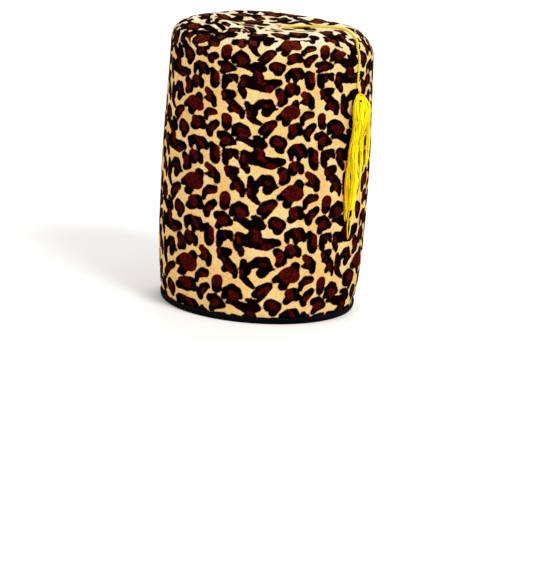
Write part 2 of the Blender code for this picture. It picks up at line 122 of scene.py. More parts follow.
# --- detail of the scene's own pieces
CLOTH_COLUMNS = 440  # points round the hat, about 1.3 mm apart
WALL_ROW_SPACING = 0.00134
ROLL_ROWS = 20  # rows of the wall's cloth on the roll, up to the seam
ROLL_ROW_POWER = 1.15  # the rows lie closer where the roll begins
TOP_SEAM_ROWS = 12  # rows of the top's cloth from the seam to the crest
DISH_ROWS = 56
WALL_START = 0.0032  # the plush begins out of sight under the binding
SEAM_GROOVE_DEPTH = 0.0003
SEAM_GROOVE_WIDTH = 0.0013
BACK_AZIMUTH = 90.0
BACK_SEAM_DEPTH = 0.0010
BACK_SEAM_WIDTH = 0.0016


# --- interpolation
def smooth_through(knots, values, at):
    """Values at places on the smooth curve through (knot, value) pairs; the ends are held."""
    knots = np.asarray(knots, float)
    values = np.asarray(values, float)
    at = np.clip(at, knots[0], knots[-1])
    i = np.clip(np.searchsorted(knots, at, side="right") - 1, 0, len(knots) - 2)
    before = np.maximum(i - 1, 0)
    after = np.minimum(i + 2, len(knots) - 1)
    span = knots[i + 1] - knots[i]
    slope_in = (values[i + 1] - values[before]) / (knots[i + 1] - knots[before])
    slope_out = (values[after] - values[i]) / (knots[after] - knots[i])
    t = (at - knots[i]) / span
    return (
        values[i] * (1 - t) ** 2 * (1 + 2 * t)
        + slope_in * span * t * (1 - t) ** 2
        + values[i + 1] * t * t * (3 - 2 * t)
        - slope_out * span * t * t * (1 - t)
    )


def columns_at(table, at):
    """Every column of a table but the first, read at places along its first column."""
    return [smooth_through(table[:, 0], table[:, k], at) for k in range(1, table.shape[1])]


def unit(vectors):
    return vectors / np.linalg.norm(vectors, axis=-1, keepdims=True)


def run_along(points):
    """Distance covered at each point of a line, or down each column of a grid of points."""
    steps = np.linalg.norm(np.diff(points, axis=0), axis=-1)
    return np.concatenate([np.zeros((1, *steps.shape[1:])), np.cumsum(steps, axis=0)])


def columns_round(start):
    """The azimuths of the columns of points round the hat, as one row."""
    return (start + np.arange(CLOTH_COLUMNS) * 360.0 / CLOTH_COLUMNS)[None, :]


# --- the cloth's outer face
def turned(stations):
    """Stations repeated a turn before and after, so that they can be read all round."""
    azimuth_only = np.array([1.0] + [0.0] * (stations.shape[1] - 1))
    return np.concatenate([stations + turn * azimuth_only for turn in (-360.0, 0.0, 360.0)])


ROLL_ALL_ROUND = turned(ROLL_STATIONS)


def wall_radius(azimuth, height):
    half_width, half_depth, lean = columns_at(WALL_SECTIONS, height)
    cosine = np.cos(np.radians(azimuth))
    sine = np.sin(np.radians(azimuth))
    oval = half_width * half_depth / np.hypot(half_depth * cosine, half_width * sine)
    return oval + lean * cosine


def folds_at(azimuth, share):
    """Rise of the top's folds at an azimuth and a share of the crest's distance from the axis."""
    rise = 0.0
    for middle, half_span, fold_share, drift, fold_rise, half_width in TOP_FOLDS:
        along = ((azimuth - middle + 180.0) % 360.0 - 180.0) / half_span
        across = (share - fold_share - drift * along / 2) * FOLD_REFERENCE / half_width
        fading = np.where(np.abs(along) < 1.0, np.cos(along * math.pi / 2) ** 2, 0.0)
        rise = rise + fold_rise * fading * np.exp(-across * across)
    return rise


def roll_point(azimuth, turn):
    """(radius, height) on the rolled edge: turn is 0 at the wall and 1 at the crest."""
    crest_height, crest_inset, squareness, _ = columns_at(ROLL_ALL_ROUND, azimuth)
    angle = turn * math.pi / 2
    in_from_wall = crest_inset * (1 - np.maximum(np.cos(angle), 0.0) ** (2 / squareness))
    below_crest = ROLL_DROP * (1 - np.sin(angle) ** (2 / squareness))
    wall = wall_radius(azimuth, WALL_TOP)
    radius = wall - in_from_wall
    fold = folds_at(azimuth, radius / (wall - crest_inset)) * np.sin(angle) ** 2
    return radius, crest_height - below_crest + fold


def seam_turn(azimuth):
    """How far round the roll the seam lies."""
    crest_height, _, squareness, seam_height = columns_at(ROLL_ALL_ROUND, azimuth)
    share = 1 - (crest_height - seam_height) / ROLL_DROP
    return np.arcsin(share ** (squareness / 2)) / (math.pi / 2)


def dish_point(azimuth, share):
    """(radius, height) on the sunken top: share is 1 at the crest and 0 in the middle."""
    crest_height, crest_inset, _, _ = columns_at(ROLL_ALL_ROUND, azimuth)
    crest_radius = wall_radius(azimuth, WALL_TOP) - crest_inset
    sunk = CENTRE_HEIGHT + (crest_height - CENTRE_HEIGHT) * share * share * (3 - 2 * share)
    return share * crest_radius, sunk + folds_at(azimuth, share) * np.minimum(1.0, 4 * share)


def place(azimuth, radius, height):
    """Points in space from azimuth, radius and height."""
    angle = np.radians(azimuth)
    return np.stack(
        np.broadcast_arrays(np.cos(angle) * radius, np.sin(angle) * radius, height), axis=-1
    )


def roll_turn_where(azimuth, measure, target):
    """The turn at which a measure of (radius, height) along the roll reaches its target."""
    low, high = 0.0, 1.0
    for _ in range(HALVINGS):
        middle = (low + high) / 2
        if measure(*roll_point(azimuth, middle)) < target:
            low = middle
        else:
            high = middle
    return low


def top_height(x, y):
    """Height of the cloth of the top and its roll over a place."""
    azimuth = math.degrees(math.atan2(y, x))
    radius = math.hypot(x, y)
    crest_radius = dish_point(azimuth, 1.0)[0]
    if radius <= crest_radius:
        return float(dish_point(azimuth, radius / crest_radius)[1])
    turn = roll_turn_where(azimuth, lambda r, h: -r, -radius)
    return float(roll_point(azimuth, turn)[1])


# --- camera, first
def make_camera():
    forward = (CAMERA_AIM - CAMERA_PLACE).normalized()
    level_right = forward.cross(Vector((0.0, 0.0, 1.0))).normalized()
    level_up = level_right.cross(forward)
    right = level_right * math.cos(CAMERA_ROLL) + level_up * math.sin(CAMERA_ROLL)
    up = level_up * math.cos(CAMERA_ROLL) - level_right * math.sin(CAMERA_ROLL)
    data = bpy.data.cameras.new("photo_view")
    data.sensor_fit = "AUTO"
    data.sensor_width = SENSOR
    data.lens = CAMERA_FOCAL * SENSOR / IMAGE_LONG_SIDE
    data.clip_start = 0.1
    data.clip_end = 50.0
    camera = bpy.data.objects.new("photo_view", data)
    bpy.context.scene.collection.objects.link(camera)
    rotation = Matrix((right, up, -forward)).transposed().to_4x4()
    camera.matrix_world = Matrix.Translation(CAMERA_PLACE) @ rotation
    bpy.context.scene.camera = camera


# --- mesh helpers
def make_piece(name, vertices, faces, materials, slots_of_faces=None, attributes=None):
    mesh = bpy.data.meshes.new(name)
    mesh.from_pydata(np.asarray(vertices).tolist(), [], faces)
    mesh.shade_smooth()
    for material in materials:
        mesh.materials.append(material)
    if slots_of_faces is not None:
        mesh.polygons.foreach_set("material_index", slots_of_faces)
    for attribute, values in (attributes or {}).items():
        layer = mesh.attributes.new(attribute, "FLOAT", "POINT")
        layer.data.foreach_set("value", np.asarray(values, np.float32).ravel())
    mesh.update()
    made = bpy.data.objects.new(name, mesh)
    bpy.context.scene.collection.objects.link(made)
    return made


def stand_for(piece, node):
    """The piece rides on the hat and replaces a solid of the part."""
    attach(piece, "root")
    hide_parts(node)
    return piece


def grid_faces(rows, columns, closed_rows=False):
    """Quads of a grid that closes round its columns, and round its rows if asked."""
    row, column = np.meshgrid(
        np.arange(rows if closed_rows else rows - 1), np.arange(columns), indexing="ij"
    )
    beside = (column + 1) % columns
    above = (row + 1) % rows
    corners = (row * columns + column, row * columns + beside)
    corners += (above * columns + beside, above * columns + column)
    return np.stack(corners, axis=-1).reshape(-1, 4).tolist()


def grid_normals(points):
    """Unit normals of a grid of points that closes round its columns and climbs along its rows."""
    around = np.roll(points, -1, axis=1) - np.roll(points, 1, axis=1)
    return unit(np.cross(around, np.gradient(points, axis=0)))


def soft_noise(points, scale, seed):
    """Smooth noise from -1 to 1 at each point, with features of about 1 / scale metres."""
    shift = Vector((seed, seed * 1.7, -seed * 2.3))
    flat = (points.reshape(-1, 3) * scale).tolist()
    return np.array([noise.noise(Vector(p) + shift) for p in flat]).reshape(points.shape[:-1])


def undulation(points, layers):
    """The sum of layers of soft noise. Each layer is (rise, scale, seed)."""
    return sum(rise * soft_noise(points, scale, seed) for rise, scale, seed in layers)


def tube_rings(line, radii, sides, reference):
    """Rings of points round a line. The reference is a direction that the line never takes."""
    tangents = unit(np.gradient(line, axis=0))
    across = unit(np.cross(tangents, reference))
    other = np.cross(across, tangents)
    angles = 2 * math.pi * np.arange(sides) / sides
    circle = (
        np.cos(angles)[None, :, None] * across[:, None, :]
        + np.sin(angles)[None, :, None] * other[:, None, :]
    )
    return line[:, None, :] + np.asarray(radii)[:, None, None] * circle, angles


def make_yarn(name, strands, sides, material):
    """One mesh of closed tubes. Each strand is (line, radii, reference, tone)."""
    vertices, faces = [], []
    layers = {"along": [], "turn_cos": [], "turn_sin": [], "tone": []}
    start = 0
    for line, radii, reference, tone in strands:
        rings, angles = tube_rings(line, radii, sides, reference)
        count = len(line)
        vertices.append(rings.reshape(-1, 3))
        quads = np.asarray(grid_faces(count, sides)) + start
        faces.extend(quads.tolist())
        faces.append(list(range(start + sides - 1, start - 1, -1)))
        faces.append(list(range(start + (count - 1) * sides, start + count * sides)))
        layers["along"].append(np.repeat(run_along(line) * 1000, sides))
        layers["turn_cos"].append(np.tile(np.cos(angles), count))
        layers["turn_sin"].append(np.tile(np.sin(angles), count))
        layers["tone"].append(np.repeat(np.broadcast_to(tone, (count,)), sides))
        start += count * sides
    attributes = {key: np.concatenate(parts) for key, parts in layers.items()}
    return make_piece(name, np.concatenate(vertices), faces, [material], attributes=attributes)


# --- materials
class Finish:
    """A Principled material, with short ways to add nodes to it. Distances on the hat are metres."""

    def __init__(self, name):
        self.material = bpy.data.materials.new(name)
        self.material.use_nodes = True
        self.tree = self.material.node_tree

    def feed(self, made, values):
        for key, value in values.items():
            if isinstance(value, bpy.types.NodeSocket):
                self.tree.links.new(value, made.inputs[key])
            else:
                made.inputs[key].default_value = value

    def add(self, kind, values, **settings):
        """The outputs of a new node."""
        made = self.tree.nodes.new("ShaderNode" + kind)
        for key, value in settings.items():
            setattr(made, key, value)
        self.feed(made, values)
        return made.outputs

    def attribute(self, name):
        return self.add("Attribute", {}, attribute_name=name)["Fac"]

    def where(self):
        return self.add("TexCoord", {})["Object"]

    def grain(self, scale, detail=2.0, roughness=0.6, distortion=0.0):
        """Noise in the object's own coordinates, from 0 to 1, with features of 1 / scale metres."""
        values = {"Vector": self.where(), "Scale": scale, "Detail": detail}
        values |= {"Roughness": roughness, "Distortion": distortion}
        return self.add("TexNoise", values)["Fac"]

    def maths(self, operation, first, second=0.0):
        return self.add("Math", {0: first, 1: second}, operation=operation)[0]

    def ramp(self, value, low, high, start=0.0, end=1.0, kind="SMOOTHSTEP"):
        """The value's place between low and high, as start to end."""
        values = {"Value": value, "From Min": low, "From Max": high, "To Min": start, "To Max": end}
        return self.add("MapRange", values, interpolation_type=kind)["Result"]

    def blend(self, share, first, second):
        """Colour between two colours or colour sockets."""
        sockets = [c if isinstance(c, bpy.types.NodeSocket) else (*c, 1.0) for c in (first, second)]
        return self.add("Mix", {0: share, 6: sockets[0], 7: sockets[1]}, data_type="RGBA")[2]

    def done(self, colour, rough_by, rough, specular, bump=None, sheen=None):
        """The material. rough is (low, high, start, end) of a ramp; bump is height, strength, depth."""
        values = {"Base Color": colour, "Specular IOR Level": specular}
        values["Roughness"] = self.ramp(rough_by, *rough, "LINEAR")
        if bump:
            heights = dict(zip(("Height", "Strength", "Distance"), bump))
            values["Normal"] = self.add("Bump", heights)["Normal"]
        if sheen:
            weight, roughness, tint = sheen
            values |= {"Sheen Weight": weight, "Sheen Roughness": roughness, "Sheen Tint": (*tint, 1.0)}
        self.feed(self.tree.nodes["Principled BSDF"], values)
        return self.material


# Colours of the plush: lower on the wall, and on the top, where they are paler and warmer as painted
# light from above
PLUSH_COLOURS = {
    "light": ((0.82, 0.595, 0.262), (0.85, 0.83, 0.66)),
    "shade": ((0.74, 0.445, 0.145), (0.74, 0.60, 0.34)),
    "brown_light": ((0.070, 0.0036, 0.0014), (0.15, 0.018, 0.004)),
    "brown_dark": ((0.018, 0.0010, 0.0005), (0.030, 0.0026, 0.0010)),
    "fringe": ((0.20, 0.032, 0.006), (0.34, 0.10, 0.015)),
}
NAP_DEPTH = (0.42, 0.24, 0.08)  # the cream where the pile parts
MARK_BLACK = (0.0004, 0.0002, 0.0002)
LIT_TOP_FROM, LIT_TOP_TO = 0.240, 0.2590  # heights between which the colours turn to the top's paler ones: painted light from above


def plush(name):
    """Short pile printed in black and brown on cream. dark and brown are signed distances in mm."""
    cloth = Finish(name)
    # painted light: towards the top every colour blends to its paler, lit variant
    lit_top = cloth.ramp(cloth.add("SeparateXYZ", {0: cloth.where()})["Z"], LIT_TOP_FROM, LIT_TOP_TO)
    light, shade, brown_light, brown_dark, fringe = (
        cloth.blend(lit_top, low, high) for low, high in PLUSH_COLOURS.values()
    )
    pile = cloth.grain(1300.0, 3.0, 0.7)
    nap = cloth.grain(800.0, 2.0, 0.7)
    tufts = cloth.grain(520.0)
    lie = cloth.grain(34.0, 3.0, 0.55, 0.6)
    edge = cloth.maths("MULTIPLY", cloth.maths("SUBTRACT", cloth.grain(560.0, 3.0, 0.65), 0.5), 1.6)
    dark = cloth.maths("ADD", cloth.attribute("dark"), edge)
    brown = cloth.maths("ADD", cloth.attribute("brown"), cloth.maths("MULTIPLY", edge, 1.8))
    ground = cloth.blend(cloth.ramp(lie, 0.3, 0.7), shade, light)
    napped = cloth.blend(cloth.ramp(pile, 0.34, 0.56, 0.45, 0.0), ground, shade)
    speckled = cloth.blend(cloth.ramp(nap, 0.38, 0.60, 0.55, 0.0), napped, NAP_DEPTH)
    burnt = cloth.blend(cloth.ramp(tufts, 0.36, 0.66), brown_dark, brown_light)
    deep_in_mark = cloth.ramp(dark, -1.1, -2.6, 0.0, 0.10)
    mottled = cloth.maths("MULTIPLY", cloth.ramp(lie, 0.38, 0.62), deep_in_mark)
    warm = cloth.maths("MAXIMUM", cloth.ramp(brown, 0.20, -0.75), mottled)
    inside = cloth.blend(warm, MARK_BLACK, burnt)
    fringed = cloth.blend(cloth.ramp(dark, 0.50, 0.0, 0.0, 0.8), speckled, fringe)
    printed = cloth.blend(cloth.ramp(dark, 0.15, -0.25), fringed, inside)
    relief = cloth.maths("ADD", cloth.maths("MULTIPLY", pile, 0.6), tufts)
    sheen = (0.0006, 0.5, (1.0, 0.93, 0.80))
    return cloth.done(printed, pile, (0.2, 0.8, 0.82, 0.98), 0.004, (relief, 0.55, 0.0006), sheen)


def knit_backing():
    """The pale knitted back of the plush, seen inside the hat."""
    knit = Finish("knit_backing")
    values = {"Vector": knit.where(), "Scale": 420.0, "Distortion": 1.5, "Detail": 2.0}
    loops = knit.add("TexWave", values, bands_direction="DIAGONAL")["Fac"]
    colour = knit.blend(loops, (0.52, 0.47, 0.38), (0.66, 0.61, 0.51))
    worn = knit.ramp(knit.grain(60.0, 3.0), 0.35, 0.7, 0.0, 0.35)
    tinted = knit.blend(worn, colour, (0.56, 0.46, 0.30))
    return knit.done(tinted, loops, (0.0, 1.0, 0.95, 0.8), 0.2, (loops, 0.4, 0.0003))


def black_tape():
    """Matte black woven tape. along and across are distances in mm on the tape."""
    tape = Finish("black_tape")
    waves = [
        tape.maths("SINE", tape.maths("MULTIPLY", tape.attribute(name), 2 * math.pi / pitch))
        for name, pitch in (("along", 0.75), ("across", 0.6))
    ]
    weave = tape.maths("MULTIPLY", *waves)
    lint = tape.grain(800.0, 3.0, 0.7)
    threads = tape.ramp(weave, -1.0, 1.0, kind="LINEAR")
    colour = tape.blend(threads, (0.0004, 0.0004, 0.0005), (0.0020, 0.0018, 0.0020))
    dusty = tape.blend(tape.ramp(lint, 0.62, 0.80, 0.0, 0.5), colour, (0.0060, 0.0055, 0.0050))
    relief = tape.maths("ADD", weave, lint)
    return tape.done(dusty, lint, (0.2, 0.8, 0.72, 0.92), 0.03, (relief, 0.5, 0.0002))


def black_thread():
    thread = Finish("black_thread")
    fibres = thread.grain(2500.0)
    colour = thread.blend(fibres, (0.0030, 0.0030, 0.0034), (0.010, 0.0095, 0.010))
    return thread.done(colour, fibres, (0.2, 0.8, 0.55, 0.8), 0.15, (fibres, 0.4, 0.0001))


# Bright colour, deep colour, pitch of the plies in mm
TASSEL_YARN = ((1.0, 0.95, 0.003), (0.78, 0.27, 0.001), 1.6)
CORD_YARN = ((0.93, 0.77, 0.03), (0.60, 0.25, 0.004), 1.3)


def yellow_yarn(name, bright, deep, ply_pitch):
    """Yellow yarn. along is in mm down the strand and tone is 0 bright, 1 deep and 2 a dark hollow of
    painted shade; the deep tone is partly the yarn's own orange and partly painted shade.
    """
    yarn = Finish(name)
    phase = yarn.maths("MULTIPLY", yarn.attribute("along"), 2 * math.pi / ply_pitch)
    turns = [
        yarn.maths("MULTIPLY", yarn.maths(wave, phase), yarn.attribute(turn))
        for wave, turn in (("SINE", "turn_cos"), ("COSINE", "turn_sin"))
    ]
    ply = yarn.maths("ADD", *turns)
    fibres = yarn.grain(1700.0, 3.0, 0.7)
    share = yarn.maths("ADD", yarn.attribute("tone"), yarn.ramp(fibres, 0.3, 0.7, -0.12, 0.12))
    # painted shade: the tone deepens in the grooves between the plies
    ply_shade_tone = yarn.maths("ADD", share, yarn.ramp(ply, -1.0, 0.2, 0.22, 0.0))
    colour = yarn.blend(ply_shade_tone, bright, deep)
    # painted shade: tones near 2 turn almost black, for the hollow of the eye
    painted_hollow = yarn.blend(yarn.ramp(share, 1.3, 2.0), colour, (0.010, 0.003, 0.0004))
    relief = yarn.maths("ADD", ply, fibres)
    sheen = (0.04, 0.5, (1.0, 0.85, 0.10))
    return yarn.done(painted_hollow, fibres, (0.2, 0.8, 0.42, 0.68), 0.12, (relief, 0.5, 0.00025), sheen)


def pale_floor():
    paper = Finish("pale_floor")
    cloudy = paper.grain(3.0, 3.0)
    colour = paper.blend(paper.ramp(cloudy, 0.3, 0.7), (0.86, 0.86, 0.86), (0.90, 0.90, 0.895))
    return paper.done(colour, cloudy, (0.2, 0.8, 0.8, 0.95), 0.2)


# --- the print
PRINT_CELL = (93.0, 73.0)  # mm, width and height of one repeat
PRINT_THIN = -0.29  # mm taken off every dark mark's edge
DARK_SOFTNESS = 0.14  # mm over which neighbouring marks run together
BROWN_SOFTNESS = 0.6
JOIN_REACH = 8.0  # mm beyond which a mark no longer joins
FAR_FROM_MARKS = 6.0  # mm beyond which the plain distance will do
# Each mark is a chain of (across, up, radius) in mm, swept by a circle whose radius changes evenly.
# The brown marks are the brown middles of the dark ones, in about the same order.
DARK_MARKS = (
    # curl
    ((-12.2, 130.8, 2.6), (-11.2, 124, 3.6), (-10.8, 117.6, 3.5), (-7.6, 113.8, 2.7),
     (-4.2, 110.8, 1.7)),
    ((-8.6, 126.5, 3.4), (-8, 121.8, 3.3)),
    ((-5.4, 128, 3), (-1, 132.4, 3.5), (4, 132, 4.2), (6.4, 127, 4.1), (3, 123, 4.3)),
    ((-3.5, 128.6, 2.2), (0.6, 128.6, 2.4)), ((6, 126, 3), (12.3, 125.6, 0.6)),
    # two lobes
    ((-34, 137.3, 3.2), (-29.6, 137.8, 3.5), (-26.2, 137.4, 3.6)),
    ((-33, 134.5, 2.7), (-34, 132.5, 1.9)), ((-31, 134, 3), (-28.4, 131.6, 3.4), (-24.5, 128.5, 3.8)),
    ((-28.2, 122.7, 2.9), (-24.5, 126, 3.8)),
    ((-24, 127.6, 3.7), (-20.9, 125.2, 3.5), (-19, 120.8, 3), (-18.7, 116.6, 2)),
    ((-24.5, 125, 3), (-21.5, 121.7, 2.8)),
    ((-33.9, 112.5, 5.2), (-34.2, 105.8, 4.5)),  # oval
    # dome
    ((-26.8, 99.2, 2.7), (-25.2, 104.8, 3.3), (-20.8, 107.4, 3.4), (-16.2, 105.2, 3.4),
     (-14, 100.4, 2.8)),
    ((-22.5, 101.4, 4.8), (-18.5, 101, 5)),
    ((-23.6, 94.4, 1.7), (-18.5, 94.8, 3.1), (-13.4, 91.6, 3.8), (-9, 89.5, 4.2)),
    # slanting oval
    ((-1.8, 103.6, 3.4), (2.2, 108.8, 3.9), (8.2, 111, 4.1)),
    ((8, 111, 3.4), (6.6, 105.5, 2.2), (3.6, 102, 2.4), (1.4, 98.4, 2)), ((-1, 103, 3), (5, 107, 3.5)),
    ((-8, 97.6, 1.7), (-6, 97, 2.4), (-3.4, 95.2, 2.8), (-1, 93, 2.8)),  # small hook
    ((-3, 92, 4), (0.4, 90, 3.2)), ((-8, 90, 4.5), (-5, 88, 4.5), (-6, 83, 4.5), (-3, 82, 3.5)),  # mass
    # lower mass
    ((-19.5, 79.8, 3.4), (-15.5, 78, 4)),
    ((-21.6, 73.2, 2.2), (-18.7, 69.2, 3), (-15.9, 66, 2.8), (-15.2, 64, 2.2)),
    ((-19, 76, 3.8), (-13.4, 75.6, 4.2), (-9, 80, 3.8)), ((-14.5, 75, 3.7), (-8, 74, 4)),
    ((-10, 76, 4), (-2, 74.6, 5.3), (5, 73.8, 5.2), (9.5, 75.4, 4.2), (14.2, 76, 3)),
    ((10.9, 93.8, 5.6), (15.4, 91.5, 5.6), (14, 87, 4.1)), ((9.2, 91, 3.4), (9.2, 91, 3.4)),  # ring
    ((14.2, 140.4, 3.9), (16.8, 137.8, 4.5), (17.8, 133.6, 4.6), (15.4, 130.6, 3.1)),  # square
    # blob
    ((25.2, 143.4, 5.4), (29, 143.8, 4.2), (32.2, 143, 3), (32.4, 139.8, 2.8)),
    ((25, 144, 4.5), (25, 139.5, 3.5)),
    # big blob
    ((14.3, 117, 2.9), (20.3, 120, 4.9), (24.2, 120.9, 7), (29, 120.2, 6.3)),
    ((27, 121, 5), (29, 124, 5), (30.5, 128.5, 4.3)), ((22, 118, 4), (22, 114, 4), (20.8, 111, 4)),
    # arc
    ((39.3, 136.6, 2.8), (43.8, 133.6, 3.5), (47.1, 130, 3.6), (47.6, 124.8, 3.1)),
    ((37, 129, 1), (41, 129.3, 3), (44.5, 128.5, 3)),
    ((37.3, 108, 2), (37.8, 113, 2.8), (42, 116, 4), (47.3, 116.5, 3)),  # bean
    # second square
    ((27, 104, 4.3), (31, 104.5, 4.7), (34, 100.5, 3.7), (37, 100.8, 1.7)),
    ((25.4, 97.2, 3.6), (28, 100, 4.2)),
    # slanting bar
    ((40.8, 97, 3.3), (44.5, 101.8, 4.1), (48.6, 105.4, 3.3)), ((42, 94.5, 3.2), (42, 97, 3)),
    # comma
    ((-40.6, 95.4, 3.5), (-35, 96, 3.8), (-31.5, 93, 3.9), (-28.2, 90.4, 3)),
    ((-35.5, 92, 4.3), (-37, 88.4, 3.6), (-38.7, 85.6, 2.8)), ((-33, 91.5, 4), (-32, 88.8, 2.6)),
    ((43.8, 84, 2.6), (46.4, 79.4, 4.8), (47, 71.6, 5)),  # tall square
    # arch
    ((22.4, 78.4, 2.1), (22.9, 83, 3), (28, 85.2, 4), (34, 85.4, 4.3)),
    ((34, 85.4, 4.5), (38, 81.4, 3.3), (38.4, 78.6, 2)),
    ((31, 84, 4.5), (31, 82, 4), (30.3, 77.4, 2.1)), ((34.3, 80.5, 2.6), (34.3, 80, 2.6)),
    # hook
    ((-36.2, 79.6, 2.7), (-36, 75, 3), (-35.6, 70.6, 3)),
    ((-35, 80.4, 2.3), (-31, 80.8, 2.5), (-27, 81.2, 2.3)),
    ((-27.2, 81, 2.5), (-26.8, 77.6, 2.2), (-25.4, 75, 1.1)), ((-32.5, 79, 2.5), (-31.8, 75.6, 2)),
)
BROWN_MARKS = (
    ((-34.4, 137.4, 2.6), (-33.4, 135.4, 1.8)), ((-25, 125.6, 2.4), (-22.6, 121.8, 2.6)),
    ((-30.4, 132.6, 1.3), (-28.4, 131, 1.5)), ((0.6, 130, 1.4), (4, 129, 2)),
    ((-32.8, 79, 1.2), (-31.2, 77.4, 1.6)), ((-6.6, 86, 1.8), (-3.4, 83.4, 2.3), (-5, 79.5, 2.2)),
    ((-34, 114.8, 5.2), (-34, 110.6, 3.8)), ((-21.4, 103, 3), (-18, 100.4, 3.8), (-19.6, 98, 2.6)),
    ((1, 104, 1.6), (4, 107.5, 2), (8, 109.5, 2.2), (8, 106, 2.2)), ((-5, 78, 2.4), (0, 76, 2)),
    ((3, 71.5, 2.5), (8, 72, 2.2)), ((-20, 78, 2), (-19, 74, 2.2)), ((-16, 68, 1.8), (-16, 68, 1.8)),
    ((12, 93.5, 3.6), (15, 91, 3)), ((16.6, 138.6, 3.3), (15.4, 134.8, 3.8)),
    ((24, 147.5, 3.4), (27, 142, 3)),
    ((20.6, 121, 4.6), (25, 121.6, 7), (30, 119.6, 6), (27.5, 124, 3.8)),
    ((24.4, 117, 4.2), (24.4, 117, 4.2)), ((39, 137.2, 2.8), (42, 133.4, 2.7), (43.2, 129.6, 2.3)),
    ((42, 114.5, 2.6), (48, 115, 2)), ((26.4, 105.2, 3.8), (28.5, 101, 3.4)),
    ((43.4, 98.8, 2.5), (45.4, 101.4, 2.1)), ((-38, 91, 2.6), (-34.5, 91.5, 3.6), (-32.5, 92.5, 2.4)),
    ((49.4, 80.6, 3.2), (49.8, 75, 3.8)), ((29, 88, 1.6), (33, 83, 2), (35, 79.5, 1.4)),
    ((-12.6, 122.6, 1.6), (-12.4, 118.6, 1.9)),
)
# Places on the wall, in mm round from the front and up, that the chart meets as they are, and
# places that are pulled, with their across and up in the chart. The rest is pulled in between.
FIXED_PLACES = (
    (0, 127), (-10, 118), (-27, 137), (-19, 121), (-20, 101), (-35.5, 92.5), (3, 106), (13, 92),
    (-5, 88), (-19, 78), (-16, 67), (8, 75), (16, 137), (25, 120), (44, 130), (43, 113), (30, 101),
    (44.5, 100), (47.4, 76), (31, 83), (-32, 76),
)
PRINT_ANCHORS = (
    (-34, 108.5, -34, 109), (25.9, 144.4, 26.3, 143.3), (57, 92, 58.8, 92), (-48.3, 101, -48.5, 100),
    (-49.6, 114.5, -50.2, 113), (-46.9, 77.3, -45.6, 76), (-42, 127.5, -45, 125),
    (-11.5, 43.8, -8, 45.3), (-13.8, 58.3, -12, 59.5), (-3.4, 36, -3.5, 40.7), (3, 54, 2, 55.2),
    (-31, 64.5, -28, 65.5), (-20.5, 44.5, -18.5, 45.8), (-27.3, 53.2, -24, 55.3),
    (-38, 33.5, -34, 37.8), (-22.5, 26, -20, 29.6), (-40.5, 18, -36.5, 21.5), (3.8, 32.2, 3, 35.4),
    (14.7, 16.8, 12.9, 19.3), (17.2, 62.1, 15.5, 63), (28.6, 68.2, 26.3, 70.3), (25, 45.8, 23, 47.5),
    (45.5, 55.7, 43.5, 57.5), (44.6, 37.9, 42.8, 40.3), (32.4, 26.9, 30, 28.5),
    (46.8, 24.8, 44.5, 27.3), (32.4, 14.6, 31, 16.5), (-5, 14, -5, 16.9), (-50.2, 56.6, -49.5, 57.5),
    (-51.9, 25.8, -48.5, 28.1), (6.5, 195.5, 11.7, 198.6), (-2.6, 203.8, 1.5, 209.7),
    (-5.2, 182.5, -3.5, 184.6), (-19, 201, -10.2, 207.7), (-13.8, 192.9, -9.4, 197),
    (-13, 186, -8, 190), (-3.4, 191.4, 3, 196), (-36.1, 205.4, -27.9, 210.9),
    (-23.5, 187.5, -18.7, 190.5), (-31.7, 195.8, -23.9, 201), (-37.2, 180.6, -34, 182),
    (-23.4, 172.6, -20.5, 174), (-36.8, 164.4, -35, 165.5), (-0.6, 178.2, 3.2, 178.5),
    (9.3, 164.9, 12.8, 164.4), (9.5, 204.8, 16.1, 208.4), (18.8, 212.9, 27, 215.3),
    (16.6, 192.5, 23.1, 193), (33.9, 203.9, 44.2, 203), (34.3, 188.3, 42.8, 186), (24.9, 177, 30, 174),
    (36.9, 176.3, 44.5, 173), (27.1, 164.5, 30.8, 161.5), (42.8, 152.6, 47.4, 149),
    (14.6, 149.1, 14, 149.5), (-18.8, 154.3, -19, 153), (-14, 137.7, -14, 136),
    (-31.5, 152, -31.5, 150.8), (-46, 152.4, -45.6, 149), (-50.4, 173.4, -48.5, 173),
    (35.8, 222.7, 48.4, 220.6), (20.9, 231.5, 30.5, 233.4), (4.9, 231.5, 13.5, 236.4),
    (21.2, 241, 30.9, 247.9), (35.6, 239.9, 45.7, 246.6), (34.5, 249.5, 43.9, 263),
    (11.7, 245.5, 21.9, 256.6), (5.1, 249.9, 14.3, 267.1), (26.4, 252.4, 35.5, 270.5),
    (-4.1, 242.5, 3.9, 253.1), (-28.4, 237.7, -20.2, 248.4), (-43.2, 241.6, -34, 257.3),
    (-41.6, 228.2, -35, 238.7), (-12.2, 228.9, -4.4, 233.3), (7.6, 218.6, 14.7, 221.2),
    (-19.9, 206.5, -12.1, 210.3), (-20.7, 221.2, -17, 226.3), (-36.5, 218.6, -31.9, 222.4),
    (-12, 244.5, -3.3, 261.1), (-52, 217.9, -45.6, 221.3), (-86.5, 232, -80, 236.6),
    (-87, 167, -80.8, 164.2), (-84, 94.5, -78.8, 91.7), (-96, 18.5, -78.8, 18.7), (-101, 198, -93, 200),
    (-96, 129.5, -93, 127), (-97, 56, -91.8, 53.7), (103, 238, 106, 238), (104, 101, 106, 92),
    (117, 21, 106, 19), (89, 58, 93, 54), (76, 229, 84, 230), (76, 215, 84, 213.2),
    (76, 201, 84.5, 198.2), (76, 187, 84.5, 184.5), (76, 174, 81, 170), (76, 160, 79.5, 155.8),
    (76, 146, 78, 141.5), (90, 215, 95, 212.8), (90, 200, 95.5, 197), (90, 187, 95.5, 183),
    (90, 160, 92.5, 155), (54, 201, 65, 200), (54, 187, 66, 184.5), (54, 174, 63, 170.5),
)
ANCHOR_REACH = 30.0  # mm squared; larger blends the anchors more
